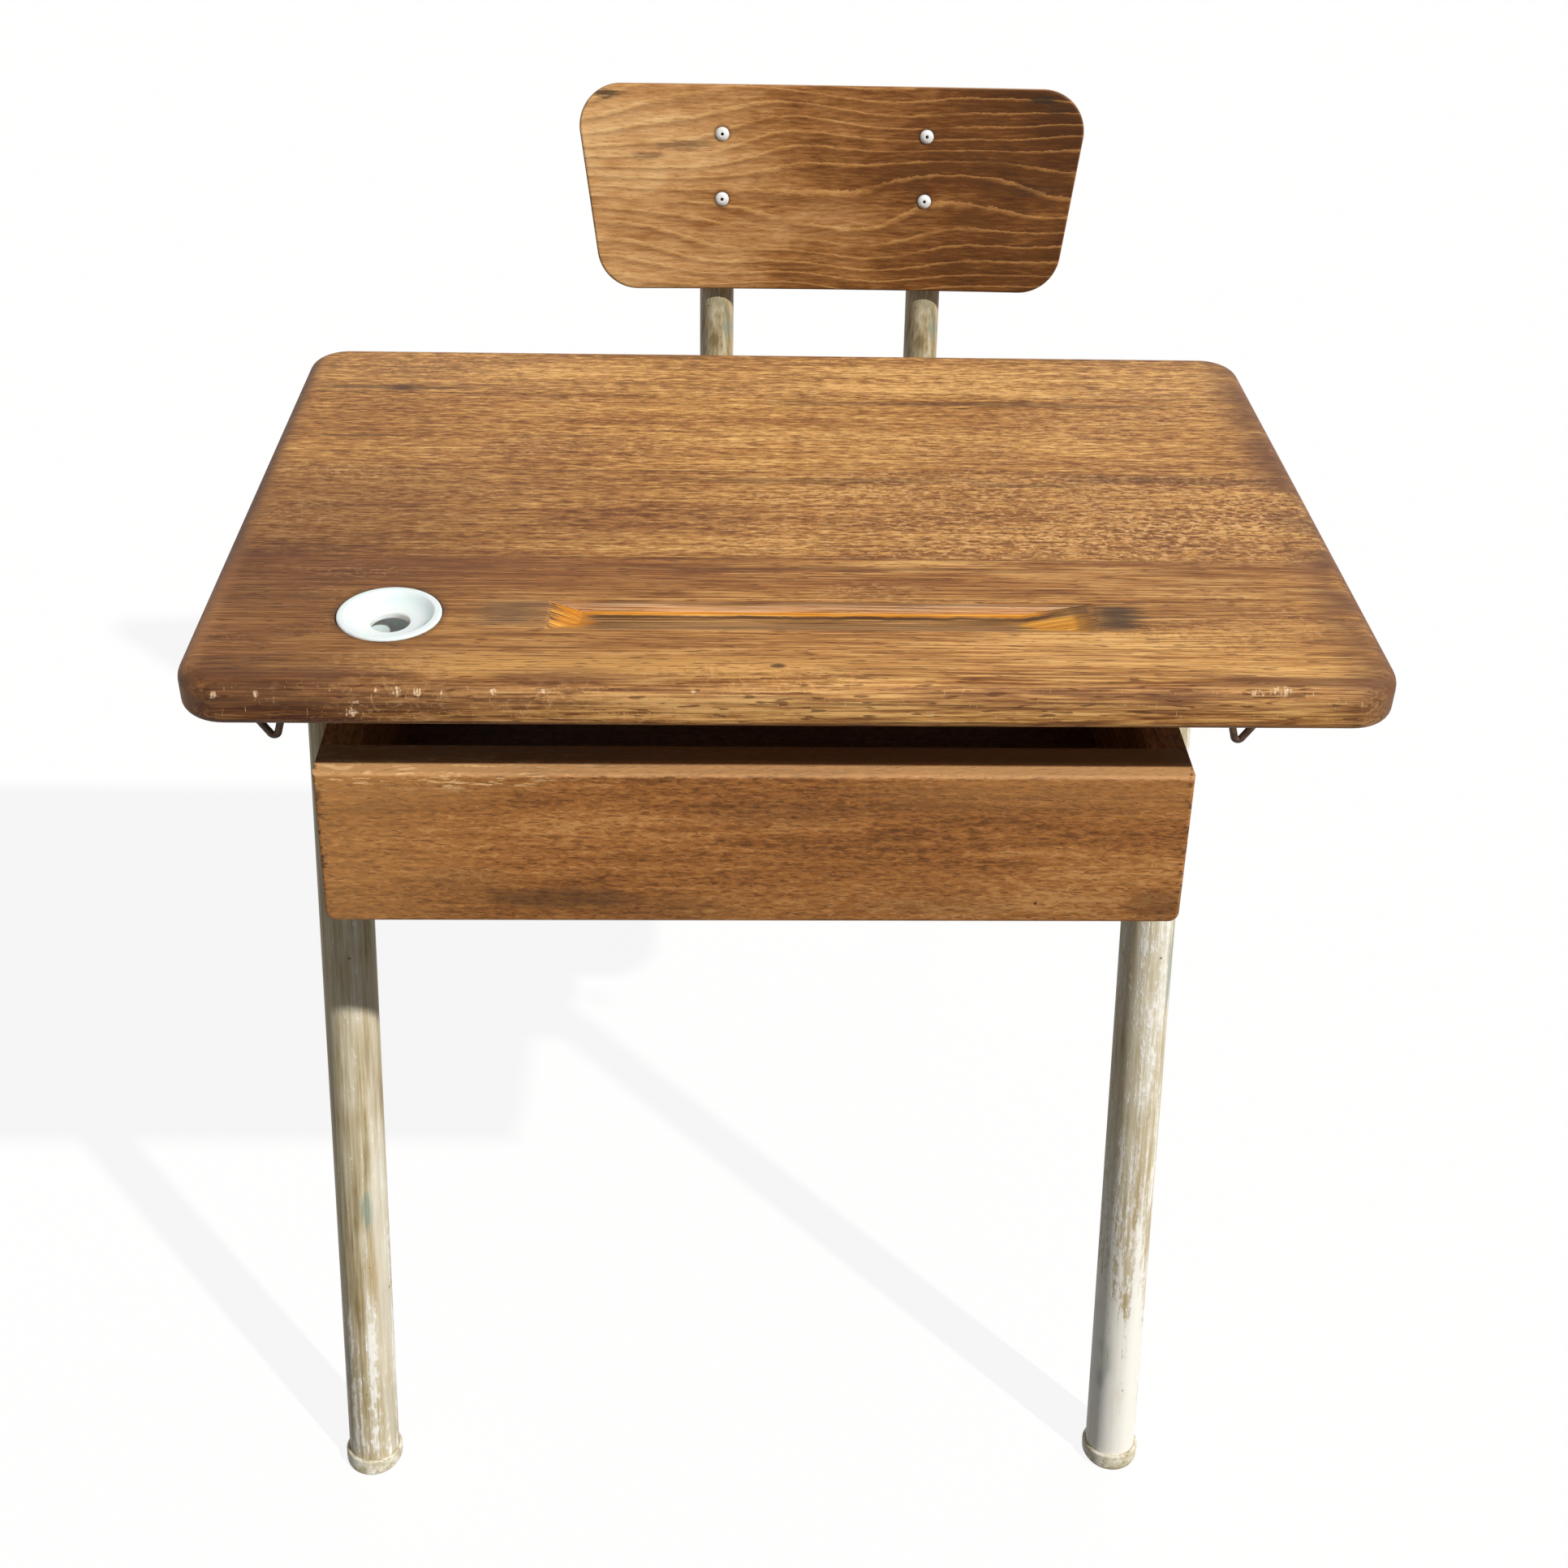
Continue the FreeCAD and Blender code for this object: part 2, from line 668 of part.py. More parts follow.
# Seat board and the tube that joins the spines under it
seat_x0 = seat_offset - seat_width / 2
seat_x1 = seat_offset + seat_width / 2
corners = [(seat_x0, seat_front), (seat_x1, seat_front), (seat_x1, seat_rear), (seat_x0, seat_rear)]
seat = plate(corners, seat_corner_r, seat_height - seat_thick, seat_thick)
seat = seat.makeFillet(seat_round, level_edges(seat, seat_height))
brace_x = spine_spacing / 2
brace = tube(
    V(seat_offset - brace_x, brace_y, seat_tube_z), V(seat_offset + brace_x, brace_y, seat_tube_z),
    seat_cross_d, tube_wall,
)
for side, name in side_names:
    spine_x = seat_offset + side * brace_x
    run = bar(V(spine_x, seat_front, seat_tube_z), V(spine_x, seat_rear, seat_tube_z), spine_r + weld_gap)
    brace = brace.cut(run)
nodes["seat_cross_tube"] = brace

# Backrest: a gently curved board with a tapered, rounded outline, leaned back
half_top = back_width / 2
half_low = half_top - back_narrowing / 2
half_tall = back_tall / 2
bow = half_top ** 2 / back_curve_r
hub = V(0, 0, back_curve_r)
shell = Part.makeCylinder(back_curve_r + back_thick, back_tall, hub - Y_DIR * half_tall, Y_DIR)
shell = shell.cut(Part.makeCylinder(back_curve_r, back_tall, hub - Y_DIR * half_tall, Y_DIR))
outline = [(-half_low, -half_tall), (half_low, -half_tall), (half_top, half_tall), (-half_top, half_tall)]
board = shell.common(plate(outline, back_corner_r, -back_thick - bow, back_thick + bow + bow))
board = board.makeFillet(back_round, board.Edges)
board.rotate(V(0, 0, 0), X_DIR, 90 - back_recline)
board.translate(back_centre)

for at, way in seat_rivets:
    seat = seat.cut(bar(at + way * overrun, at - way * (seat_thick + overrun), rivet_d / 2 + rivet_fit))
for at, way in back_rivets:
    board = board.cut(bar(at + way * overrun, at - way * (back_thick + overrun), rivet_d / 2 + rivet_fit))
    board = board.cut(bar(at, at + way * overrun, rivet_head_d / 2 + rivet_fit))
nodes["seat_board"] = seat
nodes["backrest_board"] = board

groups = {
    "box_screws": box_screws,
    "hinge_lid_screws": lid_screws,
    "hinge_rail_screws": rail_screws,
    "lid_buffers": buffers,
    "rail_plugs": rail_plugs,
    "spine_plugs": spine_plugs,
    "seat_rivets": [aimed(rivet(seat_grip), at, way) for at, way in seat_rivets],
    "backrest_rivets": [aimed(rivet(back_grip), at, way) for at, way in back_rivets],
}
for name, solids in groups.items():
    nodes[name] = Part.makeCompound(solids)

# The origin goes under the middle of the whole desk, on the floor
whole = Part.makeCompound(list(nodes.values())).optimalBoundingBox(False, False)
shift = V(-(whole.XMin + whole.XMax) / 2, -(whole.YMin + whole.YMax) / 2, -whole.ZMin)
os.makedirs("parts", exist_ok=True)
for name, shape in nodes.items():
    shape.translate(shift)
    shape.exportStep("parts/" + name + ".step")
print("origin shift", shift)
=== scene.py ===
import json
import math
import random

import bpy
from mathutils import Matrix, Vector


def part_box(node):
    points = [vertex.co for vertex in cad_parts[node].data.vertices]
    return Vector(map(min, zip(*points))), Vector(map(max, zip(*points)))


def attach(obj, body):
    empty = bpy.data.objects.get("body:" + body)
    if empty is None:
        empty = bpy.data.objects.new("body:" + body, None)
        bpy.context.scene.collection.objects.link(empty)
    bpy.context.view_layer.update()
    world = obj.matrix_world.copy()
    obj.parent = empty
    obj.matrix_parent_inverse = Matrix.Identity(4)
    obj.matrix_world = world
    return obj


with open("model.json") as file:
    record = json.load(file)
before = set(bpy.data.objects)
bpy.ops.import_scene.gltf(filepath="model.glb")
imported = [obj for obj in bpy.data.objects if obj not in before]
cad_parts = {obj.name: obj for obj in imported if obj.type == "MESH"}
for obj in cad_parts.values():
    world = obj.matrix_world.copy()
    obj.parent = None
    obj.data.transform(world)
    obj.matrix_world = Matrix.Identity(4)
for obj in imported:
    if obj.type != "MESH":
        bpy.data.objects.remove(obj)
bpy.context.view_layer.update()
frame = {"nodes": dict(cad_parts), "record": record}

# School desk with a lifting top, a book box and an attached seat, dressed for a studio picture.
# All lengths are in metres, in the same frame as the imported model. Colours are written as 0 to 255 values.

nodes = frame["nodes"]
openings = {o["name"]: [Vector(c) for c in o["box_m"]] for o in frame["record"]["physics"]["openings"]}
slot_of = {s["node"]: s["material_slot"] for s in frame["record"]["subparts"]}

# Camera, worked out from the photograph's perspective
PHOTO_PX = 1932
FOCAL_PX = 2400.7
AXIS_PX = (965.8, 898.8)
SENSOR = 36.0
CAMERA_FROM_LID = Vector((-0.0371, -1.0680, 0.5387))
CAMERA_PITCH = math.radians(33.69)
CAMERA_YAW = math.radians(2.175)
CAMERA_ROLL = math.radians(1.50)

# Light
SUN_AZIMUTH = math.radians(50)
SUN_HEIGHT = math.radians(43.9)
SUN_SPREAD = math.radians(1.5)
SUN_STRENGTH = 3.45
LAMP_COLOUR = (1.0, 0.98, 0.95)
FILL_AZIMUTH = math.radians(150)
FILL_HEIGHT = math.radians(13)
FILL_SPREAD = math.radians(60)
FILL_STRENGTH = 0.8
SKY_STRENGTH = 0.16
FLOOR_SIZE = 60.0
FLOOR_TONE = 1.0
FLOOR_LIFT = 0.9
FLOOR_BOUNCE = 0.2

# Top board: its middle on the upper face, its half sizes and the seams between its four boards
lid_low, lid_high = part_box("desktop_lid")
LID_MID = Vector(((lid_low.x + lid_high.x) / 2, (lid_low.y + lid_high.y) / 2, lid_high.z))
LID_HALF_X = (lid_high.x - lid_low.x) / 2
LID_HALF_Y = (lid_high.y - lid_low.y) / 2
SEAMS = (-0.084, 0.028, 0.142)

# Pencil groove, from the space that the record gives for pencils: its floor lies along the far wall
GROOVE_RUN_OUT_LEFT = 0.0191
GROOVE_RUN_OUT_RIGHT = 0.0403
GROOVE_CLEAR = 0.0005
GROOVE_WIDTH = 0.032
GROOVE_DEPTH = 0.007
groove_low, groove_high = openings["pencil_groove"]
GROOVE_LEFT = groove_low.x - LID_MID.x - GROOVE_RUN_OUT_LEFT
GROOVE_RIGHT = groove_high.x - LID_MID.x + GROOVE_RUN_OUT_RIGHT
GROOVE_FAR = groove_high.y - LID_MID.y + GROOVE_CLEAR
GROOVE_NEAR = GROOVE_FAR - GROOVE_WIDTH

# Finish of the groove, as distances from its near edge, its far wall, its floor and its two ends
NEAR_FADE = (0.001, 0.007)
NEAR_RIM = (-0.001, 0.002)
FAR_FADE = (0.0020, 0.0010)
WALL_FADE = (-0.0006, -0.0001)
RIM_HEIGHTS = (-0.0022, -0.0006)
GOLD_LINE_NEAR = (-0.0044, -0.0034)
GOLD_LINE_FAR = (-0.0001, -0.0006)
GOLD_LINE_TOP = (0.0026, 0.0010)
RAW_LEFT = (-0.001, 0.019)
RAW_LEFT_FAR = (-0.0004, -0.0020)
RAW_RIGHT = (-0.040, -0.004)
RAW_RIGHT_FAR = (-0.008, -0.011)
DARK_FOOT = (-0.0075, -0.0048)
DARK_FROM = (0.018, 0.03)
DARK_TO = (-0.010, -0.030)
DIRT_LEFT = (-0.036, -0.003)
DIRT_RIGHT = (-0.002, 0.024)

# Boards of the top: steps from one board's grain to the next one's, and how their seams and ends fade
BOARD_STEP_X = 0.37
BOARD_STEP_Y = 0.83
SEAM_HALVES = (-0.0005, 0.0005)
SEAM_FADE = 0.004
FRONT_FADE = 0.012
END_GRAIN = (-0.011, -0.002)
RINGS_A_METRE = 260.0

# Tints, flecks and dirt of the top: places between which each begins and ends
# (OVER runs on from y down the front edge)
DARK_LEFT_X = (0.05, -0.26)
DARK_LEFT_Y = (0.06, 0.0)
FAR_LEFT_X = (-0.05, -0.32)
WARM_Y = (-0.21, -0.13)
CALM_X = (-0.15, 0.14)
CALM_OVER = (-0.212, -0.200)
PALE_NOSE_OVER = (-0.234, -0.219)
GOLDEN_X = (-0.22, 0.04)
GOLDEN_OVER = (-0.209, -0.194)
REDDER = (-0.040, -0.002)
FLECKED_X = (-0.08, 0.12)
CORNER_X = (-0.14, -0.30)
CORNER_Y = (0.04, -0.12)
# Painted light on the left rim, where it turns away from the sun
PAINTED_LIGHT_LEFT_RIM = (0.018, 0.002)
RIGHT_RIM = (-0.044, -0.006)
FAR_RIM = (-0.014, -0.002)
DARK_RIM_Y = (-0.15, -0.05)
GRUBBY_LEFT_X = (0.02, -0.16)
GRUBBY_RIGHT_X = (0.16, 0.26)
DIRT_LINE_OVER = (-0.2180, -0.2080)
SCRATCHED_OVER = (-0.2400, -0.2200)
TOP_FACE_Z = (-0.012, -0.006)
WELL_RING_R = (0.034, 0.028)

# Long smudges on the top: place along x and y, half sizes, strength
LID_SMUDGES = (
    ((-0.262, 0.150), (0.060, 0.0045), 0.65),
    ((-0.252, 0.150), (0.008, 0.0030), 0.90),
    ((-0.270, 0.076), (0.035, 0.0020), 0.60),
    ((0.120, 0.132), (0.170, 0.0050), 0.50),
    ((0.150, 0.012), (0.045, 0.0022), 0.60),
    ((0.235, 0.020), (0.080, 0.0070), 0.40),
    ((0.030, 0.016), (0.120, 0.0060), 0.40),
    ((-0.010, -0.096), (0.200, 0.0035), 0.45),
    ((-0.008, -0.200), (0.005, 0.0030), 0.85),
)

# Chips of the front edge: place along x and over the edge, half sizes
CHIPS = (
    ((-0.2050, -0.2236), (0.0030, 0.0034)),
    ((-0.1945, -0.2245), (0.0024, 0.0036)),
    ((-0.1820, -0.2222), (0.0008, 0.0050)),
    ((-0.2156, -0.2235), (0.0010, 0.0020)),
    ((-0.1552, -0.2236), (0.0020, 0.0026)),
    ((-0.1290, -0.2232), (0.0034, 0.0018)),
    ((-0.2290, -0.2376), (0.0034, 0.0028)),
    ((-0.2260, -0.2310), (0.0030, 0.0010)),
    ((-0.2770, -0.2262), (0.0016, 0.0024)),
    ((-0.2990, -0.2269), (0.0020, 0.0024)),
    ((0.2425, -0.2217), (0.0044, 0.0026)),
    ((0.2553, -0.2204), (0.0056, 0.0040)),
    ((0.0722, -0.2366), (0.0030, 0.0016)),
    ((-0.0519, -0.2228), (0.0016, 0.0014)),
)

WELL_MID = (openings["inkwell_cup"][0] + openings["inkwell_cup"][1]) / 2

# Wear, painted shade and a painted highlight of the box's front panel. Smudges, as shares of its length and
# height: place, half sizes, strength
PANEL_SMUDGE_SHARES = (
    ((0.27, 0.17), (0.10, 0.09), 0.55),
    ((0.16, 0.30), (0.07, 0.10), 0.25),
    ((0.40, 0.10), (0.10, 0.10), 0.30),
    ((0.97, 0.14), (0.05, 0.14), 0.45),
    ((0.72, 0.12), (0.14, 0.08), 0.25),
    ((0.52, 0.74), (0.10, 0.12), 0.25),
)
PANEL_DARK_SHARE = 0.5
PANEL_UPPER_SHARES = (0.66, 0.90)
PANEL_LEFT_SHARES = (0.30, 0.10)
PANEL_RIGHT_SHARES = (0.55, 0.75)
# Painted shade on the inner side and the back of the top edge, as shares of the panel's depth
PANEL_PAINTED_SHADE_SHARES = (0.56, 0.70)
PANEL_HOLE_SHARES = (0.828, 0.14)
PANEL_HOLE_R = 0.0012
PANEL_PALE_END = 0.12
# Painted highlight along the panel's upper edge, down from its top
PANEL_PAINTED_HIGHLIGHT = (-0.0022, -0.0004)
PANEL_RUBBED_X = (0.20, 0.06)
PANEL_RUBBED = (-0.012, -0.005)
PANEL_NICKED = (0.007, 0.0015)

# Backrest: its middle, lean and curve, and the rivets' heads
back_low, back_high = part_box("backrest_board")
BACK_MID = (back_low + back_high) / 2
BACK_LEAN = math.radians(12)
BACK_CURVE_R = 2.4
BACK_THICK = 0.009
SEAT_THICK = 0.010
PLIES = 5
PLY_EDGE_SHARES = (0.47, 0.38)
RIVET_HEAD_R = 0.0055

# Dark stains of the backrest, from its middle: place along x and up the face, half sizes, strength
BACK_STAINS = (
    ((-0.180, 0.0725), (0.014, 0.0040), 0.85),
    ((0.168, 0.0720), (0.011, 0.0045), 0.90),
    ((0.180, 0.0660), (0.012, 0.0060), 0.45),
    ((-0.119, 0.0330), (0.028, 0.0045), 0.45),
    ((-0.148, 0.0250), (0.016, 0.0030), 0.50),
    ((0.160, 0.0020), (0.026, 0.0060), 0.35),
)
RIVET_RING_R = 0.0078
BACK_LINES_A_METRE = 85.0
SEAT_LINES_A_METRE = 70.0
SEAT_WORN_HALVES = (0.15, 0.11)

# Wear of the front legs: how pale, then stains as place across and along, half sizes, strength, colour
LEG_WEAR = {
    "left": (-0.005, (
        ((-0.0075, 0.2220), (0.0045, 0.0160), 0.60, (118, 146, 136)),
        ((-0.0090, 0.1650), (0.0070, 0.0380), 0.55, (176, 144, 84)),
        ((-0.0152, 0.1700), (0.0055, 0.1900), 0.50, (250, 246, 232)),
    )),
    "right": (0.046, (
        ((-0.0140, 0.4060), (0.0045, 0.0360), 0.60, (120, 142, 138)),
        ((-0.0140, 0.1900), (0.0045, 0.0300), 0.55, (172, 140, 84)),
        ((-0.0020, 0.2600), (0.0060, 0.0600), 0.35, (168, 138, 88)),
    )),
}

# Seat spines: how pale, and where they turn up, as a share of their length from front to back; the streaks
# turn over a short run before that place, on what rises above the seat's run
SPINE_PALE = -0.01
SPINE_TURN_SHARE = 0.7
SPINE_TURN_RUN = (-0.03, 0.0)
SPINE_TURN_RISE = (0.03, 0.08)

# Tubes: how far along them the paint flakes more and turns white, and where their front side begins
TUBE_FLAKED_Z = (0.34, 0.0)
TUBE_WHITE_Z = (0.30, 0.04)
TUBE_FRONT_Y = (0.0, 0.004)

# Stains: heights above the floor on the foot caps, and above the middle of the inkwell's cup
CAP_STAIN_Z = (0.008, 0.001)
WELL_STAIN_Z = (0.012, 0.002)

# Welds: a bead's radius, steps, sides and ripple, the bead and rod of a hook, and shares for tube ends
BEAD_R = 0.0022
BEAD_STEPS = 72
BEAD_SIDES = 10
BEAD_RIPPLE = 0.18
BEAD_RIPPLE_TURN = 1.9
HOOK_BEAD_SHARE = 0.7
HOOK_ROD_R = 0.0024
REAR_LEG_SHARE = 0.99
END_RING_SHARE = 0.04

random.seed(7)


def srgb(red, green, blue):
    """Colour for a shader socket from 0 to 255 screen values."""
    def linear(value):
        share = value / 255
        return share / 12.92 if share <= 0.04045 else ((share + 0.055) / 1.055) ** 2.4
    return (linear(red), linear(green), linear(blue), 1.0)


class Finish:
    """One material's node tree, with short calls for the nodes that it needs."""

    def __init__(self, name):
        self.material = bpy.data.materials.new(name)
        self.material.use_nodes = True
        self.nodes = self.material.node_tree.nodes
        self.links = self.material.node_tree.links
        self.nodes.clear()

    def add(self, kind, **settings):
        node = self.nodes.new(kind)
        for key, value in settings.items():
            setattr(node, key, value)
        return node

    def feed(self, socket, value):
        """Link a socket, or set it where the value is constant."""
        if isinstance(value, bpy.types.NodeSocket):
            self.links.new(value, socket)
        else:
            socket.default_value = value

    def place(self, origin=(0, 0, 0), turn=(0, 0, 0)):
        """Position on the piece, seen from an origin in a turned frame."""
        node = self.add("ShaderNodeMapping", vector_type="TEXTURE")
        self.feed(node.inputs["Vector"], self.add("ShaderNodeTexCoord").outputs["Object"])
        self.feed(node.inputs["Location"], origin)
        self.feed(node.inputs["Rotation"], turn)
        return node.outputs[0]

    def split(self, vector):
        node = self.add("ShaderNodeSeparateXYZ")
        self.feed(node.inputs[0], vector)
        return node.outputs

    def join(self, x, y, z):
        node = self.add("ShaderNodeCombineXYZ")
        for socket, value in zip(node.inputs, (x, y, z)):
            self.feed(socket, value)
        return node.outputs[0]

    def math(self, operation, first, second=0.0):
        node = self.add("ShaderNodeMath", operation=operation)
        self.feed(node.inputs[0], first)
        self.feed(node.inputs[1], second)
        return node.outputs[0]

    def chain(self, operation, values):
        result = values[0]
        for value in values[1:]:
            result = self.math(operation, result, value)
        return result

    def times(self, *values):
        return self.chain("MULTIPLY", values)

    def plus(self, *values):
        return self.chain("ADD", values)

    def most(self, *values):
        return self.chain("MAXIMUM", values)

    def shaken(self, value, noise, reach):
        """A value moved by a noise, by half the reach at most to either side."""
        return self.plus(value, self.times(self.math("SUBTRACT", noise, 0.5), reach))

    def noise(self, vector, scales, detail=3.0, rough=0.55, warp=0.0):
        """Cloudy values round 0.5, with so many features a metre along each axis."""
        stretch = self.add("ShaderNodeVectorMath", operation="MULTIPLY")
        self.feed(stretch.inputs[0], vector)
        self.feed(stretch.inputs[1], scales)
        node = self.add("ShaderNodeTexNoise")
        self.feed(node.inputs["Vector"], stretch.outputs[0])
        self.feed(node.inputs["Scale"], 1.0)
        self.feed(node.inputs["Detail"], detail)
        self.feed(node.inputs["Roughness"], rough)
        self.feed(node.inputs["Distortion"], warp)
        return node.outputs[0]

    def band(self, value, low, high):
        """Rises smoothly from 0 at low to 1 at high, or falls where low is the greater."""
        node = self.add("ShaderNodeMapRange", interpolation_type="SMOOTHSTEP")
        self.feed(node.inputs["Value"], value)
        self.feed(node.inputs["From Min"], low)
        self.feed(node.inputs["From Max"], high)
        return node.outputs[0]

    def window(self, value, low, high, soft):
        """1 between two values, with soft ends."""
        rise = self.band(value, low - soft, low + soft)
        return self.times(rise, self.band(value, high + soft, high - soft))

    def spot(self, first, second, middle, halves, shake=0.0):
        """1 in the middle of an oval of half sizes, 0 outside it."""
        run = self.math("DIVIDE", self.math("SUBTRACT", first, middle[0]), halves[0])
        off = self.math("DIVIDE", self.math("SUBTRACT", second, middle[1]), halves[1])
        reach = self.plus(self.times(run, run), self.times(off, off), shake)
        return self.band(reach, 1.2, 0.1)

    def mix(self, factor, first, second, blend="MIX"):
        node = self.add("ShaderNodeMix", data_type="RGBA", blend_type=blend)
        self.feed(node.inputs[0], factor)
        self.feed(node.inputs[6], first)
        self.feed(node.inputs[7], second)
        return node.outputs[2]

    def tone(self, colour, mask, strength, towards):
        """Move a colour towards another where a mask is 1."""
        return self.mix(self.times(mask, strength), colour, srgb(*towards))

    def dim(self, colour, mask, factor):
        """Darken a colour by a factor where a mask is 1, so that its pattern stays."""
        return self.mix(mask, colour, srgb(*factor), "MULTIPLY")

    def ramp(self, value, *stops):
        """Colour from a value, through stops of (place, colour)."""
        node = self.add("ShaderNodeValToRGB")
        self.feed(node.inputs[0], value)
        table = node.color_ramp
        while len(table.elements) < len(stops):
            table.elements.new(1.0)
        for element, (place, colour) in zip(table.elements, stops):
            element.position = place
            element.color = srgb(*colour)
        return node.outputs[0]

    def close(self, colour, roughness, height, depth, **constants):
        """End the tree in one shader; height gives small relief of so many metres."""
        shader = self.add("ShaderNodeBsdfPrincipled")
        self.feed(shader.inputs["Base Color"], colour)
        self.feed(shader.inputs["Roughness"], roughness)
        for name, value in constants.items():
            self.feed(shader.inputs[name.replace("_", " ")], value)
        relief = self.add("ShaderNodeBump")
        self.feed(relief.inputs["Height"], height)
        self.feed(relief.inputs["Distance"], depth)
        self.feed(relief.inputs["Strength"], 1.0)
        self.feed(shader.inputs["Normal"], relief.outputs[0])
        self.feed(self.add("ShaderNodeOutputMaterial").inputs["Surface"], shader.outputs[0])
        return self.material


def span(start, reach):
    """Two places, given as distances from a start."""
    return start + reach[0], start + reach[1]


def groove_gold(f, y, z, ragged_x, ragged_y):
    """Where raw golden wood shows in the groove: a line at the far wall's foot and a patch at each end."""
    line = f.times(
        f.band(ragged_y, *span(GROOVE_FAR, GOLD_LINE_NEAR)),
        f.band(y, *span(GROOVE_FAR, GOLD_LINE_FAR)),
        f.band(z, *span(-GROOVE_DEPTH, GOLD_LINE_TOP)),
    )
    left = f.times(
        f.window(ragged_x, *span(GROOVE_LEFT, RAW_LEFT), 0.002),
        f.band(y, *span(GROOVE_FAR, RAW_LEFT_FAR)),
    )
    right = f.times(
        f.window(ragged_x, *span(GROOVE_RIGHT, RAW_RIGHT), 0.003),
        f.band(ragged_y, *span(GROOVE_FAR, RAW_RIGHT_FAR)),
    )
    return f.most(line, left, right)


def groove_finish(f, colour, x, y, z, own):
    """Groove of the top: grey walls, a golden line at the far foot, raw wood and dirt near the ends."""
    near_y = f.shaken(y, f.noise(own, (40.0, 160.0, 4.0), 4.0, 0.65), 0.008)
    inside = f.times(
        f.window(z, -GROOVE_DEPTH - 0.001, -0.0007, 0.0004),
        f.window(x, GROOVE_LEFT, GROOVE_RIGHT, 0.002),
        f.band(near_y, *span(GROOVE_NEAR, NEAR_FADE)),
        f.band(y, *span(GROOVE_FAR, FAR_FADE)),
    )
    threads = f.noise(f.join(x, y, 0.0), (12.0, 700.0, 1.0), 3.0, 0.6)
    ragged_x = f.shaken(x, threads, 0.06)
    ragged_y = f.shaken(y, f.noise(own, (50.0, 4.0, 4.0), 4.0), 0.004)

    # Walls and floor
    grey = f.ramp(threads, (0.40, (78, 54, 32)), (0.50, (150, 108, 64)), (0.60, (204, 158, 104)))
    colour = f.mix(f.times(inside, 0.85), colour, grey)
    wall = f.times(inside, f.band(y, *span(GROOVE_FAR, WALL_FADE)))
    layers = f.noise(f.join(x, z, 0.0), (14.0, 900.0, 1.0), 3.0, 0.6)
    pale = f.ramp(layers, (0.40, (184, 140, 96)), (0.50, (236, 194, 148)), (0.60, (254, 222, 180)))
    colour = f.mix(f.times(wall, 0.75), colour, pale)

    # Raw wood
    gold = f.times(groove_gold(f, y, z, ragged_x, ragged_y), inside)
    raw = f.ramp(threads, (0.38, (196, 122, 34)), (0.50, (226, 150, 50)), (0.62, (252, 198, 96)))
    colour = f.mix(f.times(gold, 0.95), colour, raw)

    # Dark lines along the floor and the rims
    middle = f.times(inside, f.band(x, *span(GROOVE_LEFT, DARK_FROM)))
    foot = f.times(f.window(ragged_y, *span(GROOVE_FAR, DARK_FOOT), 0.0006), middle)
    foot = f.times(foot, f.band(x, *span(GROOVE_RIGHT, DARK_TO)))
    rims = f.most(
        f.window(z, *RIM_HEIGHTS, 0.0004),
        f.window(ragged_y, *span(GROOVE_NEAR, NEAR_RIM), 0.0008),
    )
    colour = f.tone(colour, foot, 0.75, (66, 44, 26))
    colour = f.tone(colour, f.times(rims, middle), 0.45, (80, 54, 34))

    # Dirt rubbed into the top past both ends
    upper = f.band(z, -GROOVE_DEPTH - 0.002, -GROOVE_DEPTH)
    dirt_y = f.window(f.shaken(y, threads, 0.02), GROOVE_NEAR + 0.004, GROOVE_FAR - 0.002, 0.004)
    beyond = f.window(ragged_x, *span(GROOVE_RIGHT, DIRT_RIGHT), 0.008)
    before = f.window(ragged_x, *span(GROOVE_LEFT, DIRT_LEFT), 0.010)
    colour = f.tone(colour, f.times(beyond, dirt_y, upper), 0.85, (56, 42, 28))
    return f.tone(colour, f.times(before, dirt_y, upper), 0.6, (96, 74, 56))


def lid_tints(f, colour, x, y, over, broad, streak, front):
    """Slow changes of colour over the top: darker to the left, a golden streak, a pale far board."""
    dark_left = f.times(f.band(x, *DARK_LEFT_X), f.band(y, *DARK_LEFT_Y))
    colour = f.dim(colour, dark_left, (214, 207, 206))
    colour = f.dim(colour, f.band(x, *FAR_LEFT_X), (237, 235, 234))
    warm = f.window(f.shaken(y, broad, 0.2), *WARM_Y, 0.03)
    colour = f.tone(colour, warm, 0.20, (218, 156, 84))
    calm = f.times(front, f.window(x, *CALM_X, 0.06), f.band(over, *CALM_OVER))
    colour = f.dim(colour, calm, (244, 240, 240))
    colour = f.tone(colour, f.window(over, *PALE_NOSE_OVER, 0.004), 0.15, (226, 176, 128))
    golden = f.window(f.shaken(over, streak, 0.02), *GOLDEN_OVER, 0.005)
    colour = f.tone(colour, f.times(golden, f.window(x, *GOLDEN_X, 0.07)), 0.5, (240, 182, 104))
    colour = f.tone(colour, f.band(y, SEAMS[2], SEAMS[2] + SEAM_FADE), 0.18, (240, 186, 118))
    redder = f.window(f.shaken(y, broad, 0.05), *span(SEAMS[0], REDDER), 0.006)
    return f.tone(colour, redder, 0.30, (136, 80, 42))


def lid_flecks(f, colour, x, y, own, pores, hairs):
    """Pores, hair lines and the pale and dark ray flecks."""
    colour = f.tone(colour, pores, 0.7, (94, 54, 24))
    colour = f.tone(colour, hairs, 0.55, (92, 52, 24))
    flecked = f.times(f.band(x, *FLECKED_X), f.window(y, SEAMS[0], SEAMS[1], SEAM_FADE), 0.7)
    flecked = f.plus(flecked, f.times(f.band(f.noise(own, (5.0, 16.0, 9.0), 2.0), 0.5, 0.62), 0.4))
    fleck = f.noise(own, (190.0, 400.0, 300.0), 2.0, 0.6, 0.8)
    colour = f.tone(colour, f.times(f.band(fleck, 0.54, 0.62), flecked), 0.8, (234, 184, 126))
    return f.tone(colour, f.times(f.band(fleck, 0.46, 0.38), flecked), 0.8, (112, 70, 36))


